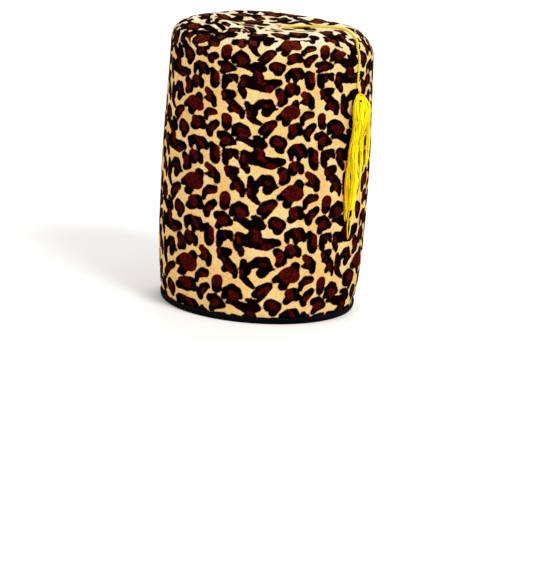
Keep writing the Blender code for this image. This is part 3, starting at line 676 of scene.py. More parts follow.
ANCHOR_ROUND_SHARE = 1.2  # an anchor reaches this much further round the hat than up it
PRINT_GIRTH = 600.0  # mm round the wall at every height, as the anchors count it
FRONT_STEPS = 200  # points that measure the cloth up the front
ROUND_STEPS = 721  # and round the wall
# The top's own marks, in mm over the cloth from its middle: right, back, radius.
TOP_CELL = (400.0, 400.0)  # wider than the top, so that its marks don't repeat
TOP_DARK_GROWTH = 1.5  # mm added all round the top's dark marks
TOP_BROWN_GROWTH = 1.3
SEAM_MARK_REACH = 0.026  # the top's marks show this far down the wall's cloth from the seam
TOP_DARK_MARKS = (
    # back
    ((-49, 66, 3.4), (-48, 61, 3)), ((-35, 69.5, 3), (-34, 65, 2.8)),
    ((-25, 77, 3.4), (-20.6, 72, 4), (-21.4, 64, 3.6)), ((-10, 80, 4.6), (-9, 73, 5), (-6, 66, 4)),
    ((-2, 68, 3.4), (0, 62, 4.4), (4, 66, 3.6), (3, 71, 2.6)), ((-4, 62, 3), (-8, 57, 2.6)),
    ((10, 80, 4.4), (11, 72, 4.6), (15, 66, 4), (16, 59.5, 2.6)), ((24.5, 71, 3.8), (23.5, 67, 3.6)),
    ((36, 76, 3.2), (33, 72, 2.6)), ((49, 67, 3), (53, 62, 3.2)),
    # star, pillar and crab
    ((-31, 57, 2.6), (-32, 50, 5), (-26.5, 49.5, 3.2)), ((-37.5, 51, 3.2), (-38, 47.5, 2.8)),
    ((-16.5, 55, 2.4), (-18, 47.5, 3), (-15, 42, 3.6), (-14, 35.5, 3.2)),
    ((4, 47, 3.4), (0, 44, 3), (-2, 39, 2.6)),
    ((8, 53, 1.6), (8, 46, 2.8), (11, 38.5, 2.8), (11, 34.5, 2.4)),
    ((5, 42, 3), (6, 34, 2.2), (7, 30, 2.4), (2, 28, 1.8), (-2.5, 25, 1.6)),
    ((9, 25.5, 2.2), (14, 24, 2), (20, 28, 2.2), (27, 28, 1.6), (31, 21, 1.8)),
    # right, behind the middle
    ((20.6, 53, 2.4), (23.6, 46, 4.4), (25, 38, 4.2), (30.4, 33, 2.4)),
    ((40, 57, 2.6), (40, 49, 5.2), (39, 42, 6), (38, 35, 4)), ((34.5, 44, 3.2), (46, 42.5, 3.2)),
    ((57, 45, 2.2), (53.4, 37, 3), (54.4, 29, 2.6), (50.6, 22, 2)), ((66, 36, 3), (67.5, 25, 3.6)),
    ((38, 18, 3), (36.5, 12, 3.2)),
    # left, behind the middle
    ((-51, 45, 2.6), (-49, 38, 4), (-46, 30, 5.2), (-46, 21, 5.2), (-46, 12, 3.6)),
    ((-61.6, 40, 2.8), (-65, 31, 3.8), (-66, 22, 3.2)), ((-77, 26, 2.8), (-79, 16, 3.2)),
    ((-33, 41, 2.2), (-36, 33.5, 2.2), (-37.5, 27, 1.8)), ((-31.5, 31, 3.4), (-31, 23, 3.6)),
    # round the middle
    ((-24.5, 30, 2.6), (-25.6, 21, 3.2), (-21.6, 14, 3.6), (-23.6, 5, 3)),
    ((-15.5, 25, 3.6), (-17.5, 15, 4)), ((-11.5, 10, 3.2), (-8, 14, 2.2)),
    ((19, 9, 3.4), (24, 2, 4.2), (27.5, -4, 3.6)),
    # left
    ((-51.8, -10, 2), (-48.6, -11, 2.6), (-49, -16, 2.4), (-52.8, -21, 2.8)),
    ((-42, -9, 2.2), (-38, -8, 2.7), (-35.6, -15, 3), (-37.4, -24, 2.6)),
    # before the middle
    ((-27.4, -6, 2.4), (-23.4, -8, 2.8), (-23, -14, 3), (-26.6, -17, 2.4)),
    ((-23, -29, 3.4), (-20.5, -36.5, 2.6)),
    ((-7.6, -6, 1.8), (-11.6, -7, 2.2), (-12.4, -13, 2.2), (-9, -16, 1.8)),
    ((11, -8, 3.2), (14, -15, 3.4)), ((1, -24, 3), (3, -28, 2.6)), ((31, -13, 3.2), (32.5, -22, 3.8)),
    ((33, -36, 2.6), (31, -43, 2.2)), ((-5, -42, 1.8), (0, -40.5, 2.2)), ((1, -47, 2.8), (5, -47.5, 3)),
    ((14, -46, 2.4), (21, -41, 3.4), (26, -39, 2.8)), ((-11, -49, 2.6), (-11, -53, 2.2)),
    ((0, -61, 2.8), (4, -65, 2.4)),
    # front slope
    ((43, -35, 2.4), (47, -42, 3.6), (45.6, -52, 4.4), (48.6, -62, 3.8)),
    ((57.5, -29, 2.8), (59, -35, 3.2), (62, -42, 2.2)),
    ((62, -49, 1.6), (58.5, -57, 2), (55, -63.5, 1.8)),
    # right edge
    ((68, -5, 3), (68, -14, 2.6)), ((78, -5, 2.6), (78.5, -14, 2.8)), ((77, 15, 2.6), (76, 7, 2.8)),
    # front slope
    ((19, -71, 4), (20, -79, 4.8), (16.5, -81.5, 3)), ((26, -69, 2.8), (25, -77.5, 3.4)),
    ((36, -75, 2.8), (35, -77.5, 2.4)), ((1.5, -81, 3.2), (5, -84, 3.6), (10, -87, 2.6)),
    ((-20, -84.5, 2.6), (-15.5, -83.5, 3.2), (-10, -84.5, 2.8)),
    ((-26, -58, 2.4), (-22, -62, 3.2), (-23, -69, 4.2), (-20.4, -75, 2.8)),
    ((-32, -57, 2.6), (-36, -62, 3.4), (-36, -69, 4), (-39.4, -74, 2.6)),
    ((-46, -74.5, 1.8), (-51.5, -70.5, 1.8), (-56, -66, 1.6)), ((-36.5, -81, 2.2), (-42, -79, 1.8)),
    # left
    ((-62.5, -51, 2), (-58, -60, 2.2), (-54, -65, 1.6)),
    ((-79, -33, 3), (-74.5, -42, 4.4), (-70, -50, 3.2)),
    ((-47, -34, 1.6), (-43.5, -42, 2), (-45, -50, 1.6)),
    ((-60, -30, 0.9), (-61.5, -39, 1), (-57.5, -46, 0.8)),
    ((-56, -40, 0.2), (-52, -48, 0.5), (-48, -58, 0.8), (-45, -66, 0.3)),
    ((-63, -2, 2.4), (-66, -12, 2.6), (-64, -19, 2)), ((-77, -12, 2.2), (-75, -22, 2.6)),
    ((-86, -2, 2.2), (-85, -12, 2.2)), ((-85, -23, 2.4), (-81.5, -29, 2)),
    ((-60, 57, 2.8), (-61, 51, 2.4)), ((-74, 1, 0.6), (-67, -3, 0.9), (-60, -11, 0.6)),
    # left corner
    ((-89, -31, 0.7), (-86.5, -31.8, 0.9), (-81.5, -36.5, 0.8)),
    ((-89, -47, 1.2), (-86.5, -44.5, 1.3), (-81, -45, 0.8)),
    ((-80, -53, 0.6), (-74, -56, 0.9), (-66, -62, 1), (-60, -68.5, 0.8)),
    ((-75, -65.5, 1.8), (-65.5, -71, 2.8), (-58, -75, 1.6)), ((-75, -66, 1.6), (-72.5, -73.8, 2)),
    ((-88, -61.5, 2.2), (-83, -60.2, 2.2)),
    # over the seam
    ((-52, -77, 1.2), (-48.5, -81, 1.6), (-44, -80.5, 1.2)),
    ((-36, -90.5, 1.2), (-31.5, -92, 1.6), (-27.4, -92, 0.9)), ((-30, -93, 1.6), (-29, -95.8, 1.2)),
    ((-20.2, -91, 1), (-14.2, -91.5, 1.6), (-16, -97.8, 1.6)), ((-19.8, -91.5, 1.2), (-20.4, -97, 1.2)),
    ((-9.8, -91.8, 0.8), (-5.5, -90.5, 0.8), (-1.8, -91.5, 0.8)),
    ((46, -70.8, 1.2), (50.8, -70.5, 1.8), (55.8, -69.2, 1.8)), ((55, -69, 1.8), (58.5, -72.5, 1.4)),
    # right corner
    ((59.5, -50.5, 1.4), (63, -58, 1.8), (67.5, -59.8, 1.6), (72.2, -58.8, 1)),
    ((74.2, -56, 1.2), (76, -64.2, 1.6)), ((78.5, -43.5, 0.6), (79.5, -53.5, 0.6)),
    ((71.8, -20, 0.6), (77, -20.8, 0.8), (83, -26.2, 0.6)), ((85.5, 5, 0.4), (89.2, 2.5, 0.4)),
    ((89, -25.5, 0.6), (94.2, -21.2, 0.6)),
    # left corner
    ((-92.8, 1.5, 0.6), (-87, -5.8, 0.6), (-78.2, -4.8, 0.4)), ((-96.8, -1.5, 0.6), (-98, -6, 0.6)),
    # back rim
    ((72, 45, 1.8), (77, 38, 1.4)), ((60, 63, 2.2), (66, 56, 1.8)), ((44, 78, 1.8), (51, 75, 2.2)),
    ((27, 86, 2.2), (33, 84, 1.6), (31, 93, 1.6)), ((13, 91, 2), (19, 94, 2.4)),
    ((-5, 90, 2), (3, 94, 1.6)), ((-21, 88, 2), (-14, 92, 2)), ((-37, 81, 2), (-31, 86, 1.8)),
    ((-51, 73, 1.6), (-56, 77, 1.8)), ((-62, 60, 1.6), (-67, 64, 2)), ((-75, 45, 1.8), (-71, 53, 1.6)),
    ((-84, 29, 1.4), (-89, 22, 1.8)), ((83, 27, 1.6), (88, 18, 1.4)),
)
# Cream between the marks under the seam, in mm round from the front and up the cloth.
WALL_GAPS = (
    # left
    ((-75.5, 243.9, 1.2), (-70.5, 244.9, 1.5), (-65.5, 246, 1.3)),
    ((-97.6, 246.6, 0.9), (-93.6, 245.6, 1.1), (-89.6, 243, 1.1)),
    # right
    ((63, 250.8, 1.2), (68, 248.8, 1.4), (73.5, 247.4, 1.6), (79, 245.6, 2.6)),
    ((87, 256.5, 1.8), (92.5, 253.5, 2)),
)
TOP_BROWN_MARKS = (
    ((-22, 76, 2), (-22, 68, 1.6)), ((-10, 79, 3.8), (-8.5, 73, 3.8), (-4, 65, 2.6), (-1, 62.5, 2.8)),
    ((10, 80, 3.6), (11, 72, 3.8), (14, 67, 2.6)), ((-32, 50, 3.6), (-31, 54, 1.8)),
    ((-13.5, 42, 2.4), (-13, 37, 2)), ((4, 43, 1.8), (7, 40, 1.4)), ((22.5, 45, 2.8), (26, 38, 2.2)),
    ((40, 52, 3), (40, 45, 4), (38.5, 37, 3.2)), ((55, 42, 1.2), (54.5, 33, 1.4)),
    ((-50, 42, 1.6), (-45, 28, 1.8)), ((-32, 31, 2.4), (-31, 24, 2)), ((-16, 25, 2.8), (-24, 21, 2)),
    ((20, 8, 2.6), (25, 1, 3.2)), ((-24.5, -8, 1.4), (-22.5, -30, 1.6)), ((11, -8, 2.8), (14, -15, 3)),
    ((31.5, -14, 1.8), (32.5, -21, 2.2)), ((2.5, -47, 2), (4.5, -47.3, 2)),
    ((21, -41, 2.2), (24, -40, 1.8)), ((46, -43, 2.6), (46.5, -54, 2.6)),
    ((58, -30, 2.2), (59.5, -36, 2.4)), ((19, -71, 2.6), (20.5, -77, 2.4)),
    ((3, -82, 2), (6, -84.5, 2)), ((-17, -84, 1.6), (-13, -83.5, 2.2)),
    ((-23, -58, 2.2), (-23, -67, 3), (-22.5, -73, 2)), ((-36, -66, 2.4), (-37, -71, 2)),
    ((-76, -38, 2.6), (-73, -44, 3.2)), ((-44, -41, 2), (-44.5, -47, 1.6)),
    ((78, -8, 1.6), (78, -12, 1.6)), ((-64, 36, 1.6), (-64.5, 29, 2)),
    ((-38.4, -11, 1.2), (-37, -20, 1.4)), ((-50.4, -10, 1.2), (-50.6, -17, 1.2)),
    ((-73, -66.5, 1.4), (-65.5, -71, 2.2), (-60, -74, 1.4)), ((-50, -79, 0.8), (-46, -80.5, 0.8)),
    ((-31, -93.5, 1.2), (-28, -96, 0.8)), ((-20, -94, 1.2), (-17, -96, 1.2)),
    ((49, -70.5, 0.8), (55, -70, 1)), ((60.5, -52, 0.8), (63.5, -58, 1)),
    ((61, 62, 1.2), (65, 57, 1.2)), ((14, 91.5, 1.2), (19, 94, 1.4)),
    ((-20, 88.5, 1), (-15, 91.5, 1.2)), ((-63, 61, 0.8), (-66.5, 64, 1.2)),
    ((-74.5, 46, 1), (-72, 51, 1)),
)


def mark_distance(across, up, marks, softness, cell):
    """Signed distance in mm to the nearest mark of a chart that repeats by its cell, softly joined."""
    width, height = cell
    nearest = np.full(across.shape, 1e3)
    joined = np.zeros(across.shape)
    for chain in marks:
        for (x0, y0, r0), (x1, y1, r1) in zip(chain, chain[1:]):
            from_x = (across - (x0 + x1) / 2 + width / 2) % width - width / 2
            from_y = (up - (y0 + y1) / 2 + height / 2) % height - height / 2
            run_x, run_y = x1 - x0, y1 - y0
            length = max(run_x * run_x + run_y * run_y, 1e-9)
            share = np.clip(((from_x * run_x + from_y * run_y) / length) + 0.5, 0.0, 1.0)
            beside = np.hypot(from_x - (share - 0.5) * run_x, from_y - (share - 0.5) * run_y)
            distance = beside - (r0 + share * (r1 - r0))
            joined += np.exp(-np.clip(distance, -JOIN_REACH, JOIN_REACH) / softness)
            nearest = np.minimum(nearest, distance)
    soft = -softness * np.log(np.maximum(joined, 1e-12))
    return np.where(nearest < FAR_FROM_MARKS, soft, nearest)


def front_distance(height):
    """Distance up the cloth in mm of a height on the front of the hat, where the wall rolls over."""
    turns = np.linspace(0.0, 1.0, FRONT_STEPS)
    radius, roll_height = roll_point(-90.0, turns)
    run = run_along(np.stack([radius, roll_height], axis=1))
    on_roll = (WALL_TOP + np.interp(height / 1000, roll_height, run)) * 1000
    return np.where(height > WALL_TOP * 1000, on_roll, height)


def chart_place(around, distance):
    """Places on the wall, in mm round from the front and up the cloth, as places in the chart."""
    anchors = np.array([(*at, *at) for at in FIXED_PLACES] + list(PRINT_ANCHORS), float)
    anchors[:, 1] = front_distance(anchors[:, 1])
    total = np.zeros(around.shape)
    shift_across = np.zeros(around.shape)
    shift_up = np.zeros(around.shape)
    for at, height, across, up in anchors:
        apart = ((around - at) / ANCHOR_ROUND_SHARE) ** 2 + (distance - height) ** 2
        weight = 1.0 / (apart + ANCHOR_REACH) ** 2
        total += weight
        shift_across += weight * (across - at)
        shift_up += weight * (up - height)
    return around + shift_across / total, distance + shift_up / total


def print_layers(across, up, dark_marks, brown_marks, cell):
    """Signed distances in mm to the dark marks and to their brown middles."""
    return {
        "dark": mark_distance(across, up, dark_marks, DARK_SOFTNESS, cell) + PRINT_THIN,
        "brown": mark_distance(across, up, brown_marks, BROWN_SOFTNESS, cell),
    }


def top_layers(across, back):
    """The top's print at places in mm over the cloth from the middle of the top."""
    layers = print_layers(across, back, TOP_DARK_MARKS, TOP_BROWN_MARKS, TOP_CELL)
    layers["dark"] -= TOP_DARK_GROWTH
    layers["brown"] -= TOP_BROWN_GROWTH
    return layers


def around_wall(azimuth, height):
    """Distance round the wall from the front in mm, as a share of a fixed girth, at each height."""
    half_width, half_depth, _ = columns_at(WALL_SECTIONS, height)
    steps = np.radians(np.linspace(-270.0, 90.0, ROUND_STEPS))
    found = np.zeros(np.broadcast(azimuth, height).shape)
    for row in range(found.shape[0]):
        a, b = half_width[row, 0], half_depth[row, 0]
        run = run_along(np.stack([a * np.cos(steps), b * np.sin(steps)], axis=1))
        angle = np.radians(azimuth[0])
        on_oval = np.arctan2(np.sin(angle) / b, np.cos(angle) / a)
        on_oval = np.where(on_oval > math.pi / 2 + 1e-9, on_oval - 2 * math.pi, on_oval)
        found[row] = (np.interp(on_oval, steps, run) / run[-1] - 0.5) * PRINT_GIRTH
    return found


# --- plush wall
WALL_NOISE = ((0.0007, 26.0, 3.0), (0.0003, 85.0, 11.0))  # rise, features to the metre, seed
TOP_NOISE = ((0.0008, 32.0, 5.0), (0.0004, 90.0, 17.0))
GATHER_RISE = 0.00022
GATHER_REACH = 0.006  # the gathers over the binding fade out over this height
PUCKERS_ROUND = 96
PUCKER_REACH = 0.004
BACK_STITCH = 0.0052
WALL_INNER_ROWS = 14
TOP_INNER_FROM = 6  # the back of the top starts this many rows inside the seam
TOP_INNER_ROWS = 9
WALL_PUCKER_RISE = 0.00016
TOP_PUCKER_RISE = 0.00018
UNPRINTED = 9.0  # mm, far from any mark
TURNED_IN = 0.0012  # the wall's upper edge is turned in by this much


def groove(distance, width):
    return np.exp(-((distance / width) ** 2))


def uneven_wave(angle, waves, drift, drifts, shift=0.0):
    """A wave round the hat whose crests drift closer and further apart."""
    return np.sin(angle * waves + drift * np.sin(angle * drifts) + shift)


def puckers(angle, from_seam, rise, shift):
    """The small gathers that the seam draws into the cloth beside it."""
    wave = uneven_wave(angle, PUCKERS_ROUND, 2.0, 7, shift)
    return rise * wave * np.exp(-from_seam / PUCKER_REACH)


def thinned(first, last, count):
    """About that many of the rows from first to last, from the last one down."""
    return np.unique(np.round(np.linspace(first, last, count)).astype(int))[::-1]


def wall_grid():
    """(points, distance up the print, azimuth, distance up the cloth), from the binding up."""
    azimuth = columns_round(180.0 / CLOTH_COLUMNS - 270.0)
    straight = round((WALL_TOP - WALL_START) / WALL_ROW_SPACING)
    heights = np.linspace(WALL_START, WALL_TOP, straight, endpoint=False)[:, None]
    lower = place(azimuth, wall_radius(azimuth, heights), heights + 0.0 * azimuth)
    shares = (np.arange(ROLL_ROWS + 1) / ROLL_ROWS)[:, None] ** ROLL_ROW_POWER
    turns = seam_turn(azimuth) * shares
    points = np.concatenate([lower, place(azimuth, *roll_point(azimuth, turns))])
    climbed = run_along(points)
    # On the straight wall the cloth is counted by height, so that the chart's places hold there.
    height = points[..., 2]
    distance = np.where(height <= WALL_TOP, height, WALL_TOP + climbed - climbed[straight])
    return points, distance, azimuth, climbed


def wall_relief(points, climbed, azimuth):
    """How far the cloth stands out from its smooth shape: gathers, dents and seams."""
    height = points[..., 2]
    above_tape = np.clip(height - BINDING_HEIGHT, 0.0, None)
    angle = np.radians(azimuth)
    gathers = uneven_wave(angle, 71, 1.5, 5) + 0.6 * np.sin(angle * 113 + 2.0)
    relief = GATHER_RISE * gathers * np.exp(-above_tape / GATHER_REACH)
    relief = relief + undulation(points, WALL_NOISE)
    below_seam = climbed[-1] - climbed
    relief = relief - SEAM_GROOVE_DEPTH * groove(below_seam, SEAM_GROOVE_WIDTH)
    relief = relief + puckers(angle, below_seam, WALL_PUCKER_RISE, 0.0)
    behind = np.abs((azimuth - BACK_AZIMUTH + 180.0) % 360.0 - 180.0)
    from_back_seam = np.radians(behind) * np.hypot(points[..., 0], points[..., 1])
    stitched = 1.0 + 0.25 * np.sin(climbed * 2 * math.pi / BACK_STITCH)
    return relief - BACK_SEAM_DEPTH * stitched * groove(from_back_seam, BACK_SEAM_WIDTH)


def make_plush_wall(material, backing):
    points, distance, azimuth, climbed = wall_grid()
    normals = grid_normals(points)
    outside = points + normals * wall_relief(points, climbed, azimuth)[..., None]
    rows = len(points)
    kept = thinned(0, rows - 1, WALL_INNER_ROWS)
    inside = points[kept] - normals[kept] * FABRIC_THICKNESS
    turned_in = outside[-1] - normals[-1] * TURNED_IN
    vertices = np.concatenate([outside, turned_in[None], inside])
    around = around_wall(azimuth, points[..., 2])
    across, up = chart_place(around, distance * 1000)
    layers = print_layers(across, up, DARK_MARKS, BROWN_MARKS, PRINT_CELL)
    # The top's marks near the seam run on over it.
    _, from_middle, top_azimuth, _ = top_grid()
    at_seam = np.interp(azimuth[0], top_azimuth[0], from_middle[0])
    near = (climbed[-1] - climbed).min(axis=1) < SEAM_MARK_REACH
    reach = (at_seam + climbed[-1] - climbed)[near] * 1000
    angle = np.radians(azimuth)
    over_seam = top_layers(np.cos(angle) * reach, np.sin(angle) * reach)
    for name, values in over_seam.items():
        layers[name][near] = np.minimum(layers[name][near], values)
    uncut = mark_distance(around, distance * 1000, WALL_GAPS, DARK_SOFTNESS, TOP_CELL)
    layers["dark"] = np.maximum(layers["dark"], -uncut)
    spare = len(vertices) - rows
    for name, values in layers.items():
        layers[name] = np.concatenate([values, np.repeat(values[-1:], spare, axis=0)])
    faces = grid_faces(len(vertices), CLOTH_COLUMNS, closed_rows=True)
    outer_faces = rows * CLOTH_COLUMNS
    slots = np.zeros(len(faces), int)
    slots[outer_faces:] = 1
    flat = vertices.reshape(-1, 3)
    piece = make_piece("plush_wall", flat, faces, [material, backing], slots, layers)
    return stand_for(piece, "crown_side")


# --- plush top
def top_grid():
    """(points, distance from the middle, azimuth, distance from the seam), from the seam inwards."""
    azimuth = columns_round(-270.0)
    seam = seam_turn(azimuth)
    turns = seam + (1 - seam) * (np.arange(TOP_SEAM_ROWS) / TOP_SEAM_ROWS)[:, None]
    roll = place(azimuth, *roll_point(azimuth, turns))
    shares = (1 - np.arange(DISH_ROWS) / DISH_ROWS)[:, None]
    dish = place(azimuth, *dish_point(azimuth, shares + 0.0 * azimuth))
    points = np.concatenate([roll, dish])
    last = np.hypot(points[-1, :, 0], points[-1, :, 1])
    inwards = run_along(points)
    return points, inwards[-1] - inwards + last, azimuth, inwards


# Creases of the top, in mm: rise, half width, and a line over the cloth from its middle (right, back)
TOP_CREASES = (
    (-2.2, 2.4, ((4, 12), (-4, 2), (-11, -14), (-18, -40), (-28, -75))),  # tack to front left
    (1.4, 3, ((5, -5), (0, -9), (-7, -27), (-12, -50), (-20, -79))),  # beside it
    (-2.2, 2.3, ((-86, -25), (-80, -17), (-70, -9), (-61, -12), (-50, -32), (-40, -52))),  # left
    (1.6, 2.6, ((-76, -4), (-66, 0), (-57, -4), (-46, -22), (-36, -40))),  # left, inside
    (1.5, 2.6, ((-83, -35), (-75, -27), (-65, -24), (-55, -39), (-45, -60))),  # left, outside
    (-1.8, 2.2, ((-85, -37), (-78, -43), (-68, -49), (-57, -60), (-46, -71))),  # left, low
    (-1.4, 2.2, ((-36, -66), (-28, -78), (-20, -81), (-10, -77), (0, -70))),  # front left
    (-1.2, 2.6, ((18, 0), (28, -9), (41, -28), (50, -48))),  # right
    (1, 3.4, ((30, 10), (44, 4), (58, -8), (68, -24))),  # right, back
    (-0.7, 3, ((-50, 52), (-28, 60), (-4, 58), (18, 48))),  # back
)
MIDDLE_FADE = 0.012  # the creases fade out this near to the middle
SEAM_FADE = 0.006  # and this near to the seam
SEAM_ALLOWANCE = 0.009  # the top's edge is turned under the roll by this much
CREASE_ROOM = 0.0022  # the back of the top lies this much deeper, so that no crease reaches it
CREASE_ROOM_FROM = 0.02  # in full from this far inside the seam


def crease_rise(across, back):
    """Rise of the top's creases in metres at places in mm over the cloth."""
    rise = np.zeros(across.shape)
    for height, half_width, line in TOP_CREASES:
        nearest = np.full(across.shape, 1e3)
        for (x0, y0), (x1, y1) in zip(line, line[1:]):
            run_x, run_y = x1 - x0, y1 - y0
            share = ((across - x0) * run_x + (back - y0) * run_y) / (run_x**2 + run_y**2)
            share = np.clip(share, 0.0, 1.0)
            apart = np.hypot(across - x0 - share * run_x, back - y0 - share * run_y)
            nearest = np.minimum(nearest, apart)
        rise += height / 1000 * groove(nearest, half_width)
    return rise


def make_plush_top(material, backing):
    points, from_middle, azimuth, inwards = top_grid()
    normals = grid_normals(points)
    angle = np.radians(azimuth)
    across = np.cos(angle) * from_middle * 1000
    back = np.sin(angle) * from_middle * 1000
    fading = np.clip(from_middle / MIDDLE_FADE, 0.0, 1.0)
    creased = crease_rise(across, back) * np.clip(inwards / SEAM_FADE, 0.0, 1.0)
    relief = (undulation(points, TOP_NOISE) + creased) * fading
    relief = relief - SEAM_GROOVE_DEPTH * groove(inwards, SEAM_GROOVE_WIDTH)
    relief = relief + puckers(angle, inwards, TOP_PUCKER_RISE, 1.0)
    outside = points + normals * relief[..., None]
    beside_seam = -unit(np.diff(points[:2], axis=0))[0]
    outside[0] -= beside_seam * GAP
    depth = FABRIC_THICKNESS + 2 * GAP
    lower = depth + SEAM_LIP_THICKNESS
    lip = [
        points[0] - normals[0] * down + beside_seam * out
        for down, out in ((lower, 0.0), (lower, SEAM_ALLOWANCE), (depth, SEAM_ALLOWANCE), (depth, 0.0))
    ]
    kept = thinned(TOP_INNER_FROM, len(points) - 1, TOP_INNER_ROWS)
    deeper = CREASE_ROOM * np.clip(inwards[kept] / CREASE_ROOM_FROM, 0.0, 1.0)
    inside = points[kept] - normals[kept] * (FABRIC_THICKNESS + deeper)[..., None]
    rows = np.concatenate([inside, np.array(lip), outside])
    columns = CLOTH_COLUMNS
    count = len(rows) * columns
    middles = [(0, 0, CENTRE_HEIGHT - FABRIC_THICKNESS - CREASE_ROOM), (0, 0, CENTRE_HEIGHT)]
    flat = np.concatenate([rows.reshape(-1, 3), middles])
    faces = grid_faces(len(rows), columns)
    hidden_faces = (len(rows) - len(outside) - 2) * columns
    slots = [1] * hidden_faces + [0] * (len(faces) - hidden_faces)
    last = count - columns
    for i in range(columns):
        j = (i + 1) % columns
        faces.append([count, j, i])
        faces.append([last + i, last + j, count + 1])
        slots += [1, 0]
    layers = top_layers(across, back)
    for name, values in layers.items():
        spare = np.full(len(inside) * columns, UNPRINTED)
        edge = np.tile(values[0], len(lip))
        middle = np.full(2, values[-1].mean())
        layers[name] = np.concatenate([spare, edge, values.ravel(), middle])
    piece = make_piece("plush_top", flat, faces, [material, backing], slots, layers)
    return stand_for(piece, "crown_top")


# --- rim binding
# (out from the wall's outer face, height) once round the folded tape: under the wall's edge, up and
# down the leg inside the hat, along the floor, up the outer leg and down behind it
TAPE_SECTION = (
    (0.0003, 0.001), (-0.0028, 0.001), (-0.0028, 0.0058), (-0.0033, 0.0063), (-0.0039, 0.0059),
    (-0.0041, 0.004), (-0.0041, 0.0018), (-0.0036, 0.0005), (-0.0026, 0), (-0.0006, 0),
    (0.0006, 0.0003), (0.0013, 0.0012), (0.0016, 0.0024), (0.0017, 0.0036), (0.0015, 0.005),
    (0.0011, 0.0061), (0.0007, 0.0064), (0.0003, 0.0059),
)
TAPE_UPPER_HEIGHT = 0.0050  # above this the tape's edges waver
TAPE_WAVER = 0.00022  # how far they rise and fall in short waves
TAPE_SWAY = 0.00014  # and in long ones
TAPE_PUFF = 0.00010  # how far the outer face swells and sinks
TAPE_RADIUS = 93.0  # mm, the rim's usual radius


def make_rim_tape(material):
    azimuth = columns_round(0.0)
    section = np.array(TAPE_SECTION)
    out, height = section[:, :1], section[:, 1:]
    angle = np.radians(azimuth)
    waver = TAPE_WAVER * uneven_wave(angle, 61, 1.3, 6) + TAPE_SWAY * np.sin(angle * 23 + 2.0)
    raised = height + waver * np.clip((height - TAPE_UPPER_HEIGHT) / 0.001, 0.0, 1.0)
    outer = np.clip(out / 0.0012, 0.0, 1.0) * np.clip(height / 0.002, 0.0, 1.0)
    puffed = out + TAPE_PUFF * uneven_wave(angle, 89, 1.1, 9) * outer
    points = place(azimuth, wall_radius(azimuth, height + 0.0 * azimuth) + puffed, raised)
    run = run_along(section[np.r_[-1, 0:len(section)]])[1:] * 1000
    layers = {
        "along": np.broadcast_to(angle * TAPE_RADIUS, points.shape[:2]),
        "across": np.broadcast_to(run[:, None], points.shape[:2]),
    }
    faces = [face[::-1] for face in grid_faces(len(points), CLOTH_COLUMNS, closed_rows=True)]
    piece = make_piece("rim_tape", points.reshape(-1, 3), faces, [material], attributes=layers)
    return stand_for(piece, "rim_binding")


STITCH_PITCH = 0.0034
STITCH_LENGTH = 0.0022
STITCH_HEIGHT = 0.0049
STITCH_RADIUS = 0.00022
STITCH_OUT = 0.0015  # the thread's distance from the plush, with the tape between them
STITCH_RIM_RADIUS = 0.0935
# The five points of a stitch: rise from that distance and share of the thread's radius
STITCH_SHAPE = np.array(((-0.0003, 0.6), (0.0, 1.0), (0.00012, 1.0), (0.0, 1.0), (-0.0003, 0.6)))


def make_rim_stitches(material):
    """One row of small black stitches just under the tape's upper edge."""
    girth = 2 * math.pi * STITCH_RIM_RADIUS
    count = round(girth / STITCH_PITCH)
    half = 360.0 * STITCH_LENGTH / girth / 2
    rise, thickness = STITCH_SHAPE.T
    strands = []
    for index in range(count):
        azimuths = 360.0 * index / count + np.linspace(-half, half, len(rise))
        radius = wall_radius(azimuths, STITCH_HEIGHT + 0.0 * rise) + rise + STITCH_OUT
        line = place(azimuths, radius, STITCH_HEIGHT)
        strands.append((line, STITCH_RADIUS * thickness, (0.0, 0.0, 1.0), 0.5))
    piece = make_yarn("rim_stitches", strands, 5, material)
    return stand_for(piece, "rim_binding")


# --- cord
TASSEL_OUT = place(TASSEL_AZIMUTH, 1.0, 0.0)
TASSEL_ALONG = np.array((-TASSEL_OUT[1], TASSEL_OUT[0], 0.0))
STRAND_RADIUS = 0.00054
STRAND_OFFSET = 0.00048
CORD_PITCH = 0.0052  # one turn of the two strands round each other
CORD_STEP = 0.0004
CORD_TAPER = 0.0015  # the strands draw together over this length at each end
CORD_TONE = 0.12
# Where the two strands stand a little apart: distance along the cord, half length, extra offset
CORD_LOOSE = ((0.006, 0.011, 0.00035), (0.091, 0.006, 0.00060))


def smooth_route(points, spacing):
    """Evenly spaced points on the smooth curve through the given ones."""
    lengths = run_along(points)
    count = max(2, round(lengths[-1] / spacing))
    at = lengths[-1] * np.arange(count + 1) / count
    return np.stack([smooth_through(lengths, points[:, axis], at) for axis in range(3)], axis=1)


def cord_route():
    points = [(x, y, top_height(x, y) + CORD_LIFT) for x, y in CORD_OVER_TOP]
    for azimuth, height, out in CORD_DOWN_WALL:
        if height > WALL_TOP:
            turn = roll_turn_where(azimuth, lambda r, h: h, height)
            radius = roll_point(azimuth, turn)[0]
        else:
            radius = wall_radius(azimuth, height)
        points.append(place(azimuth, radius + CORD_LIFT + out, height))
    return np.array(points, float)


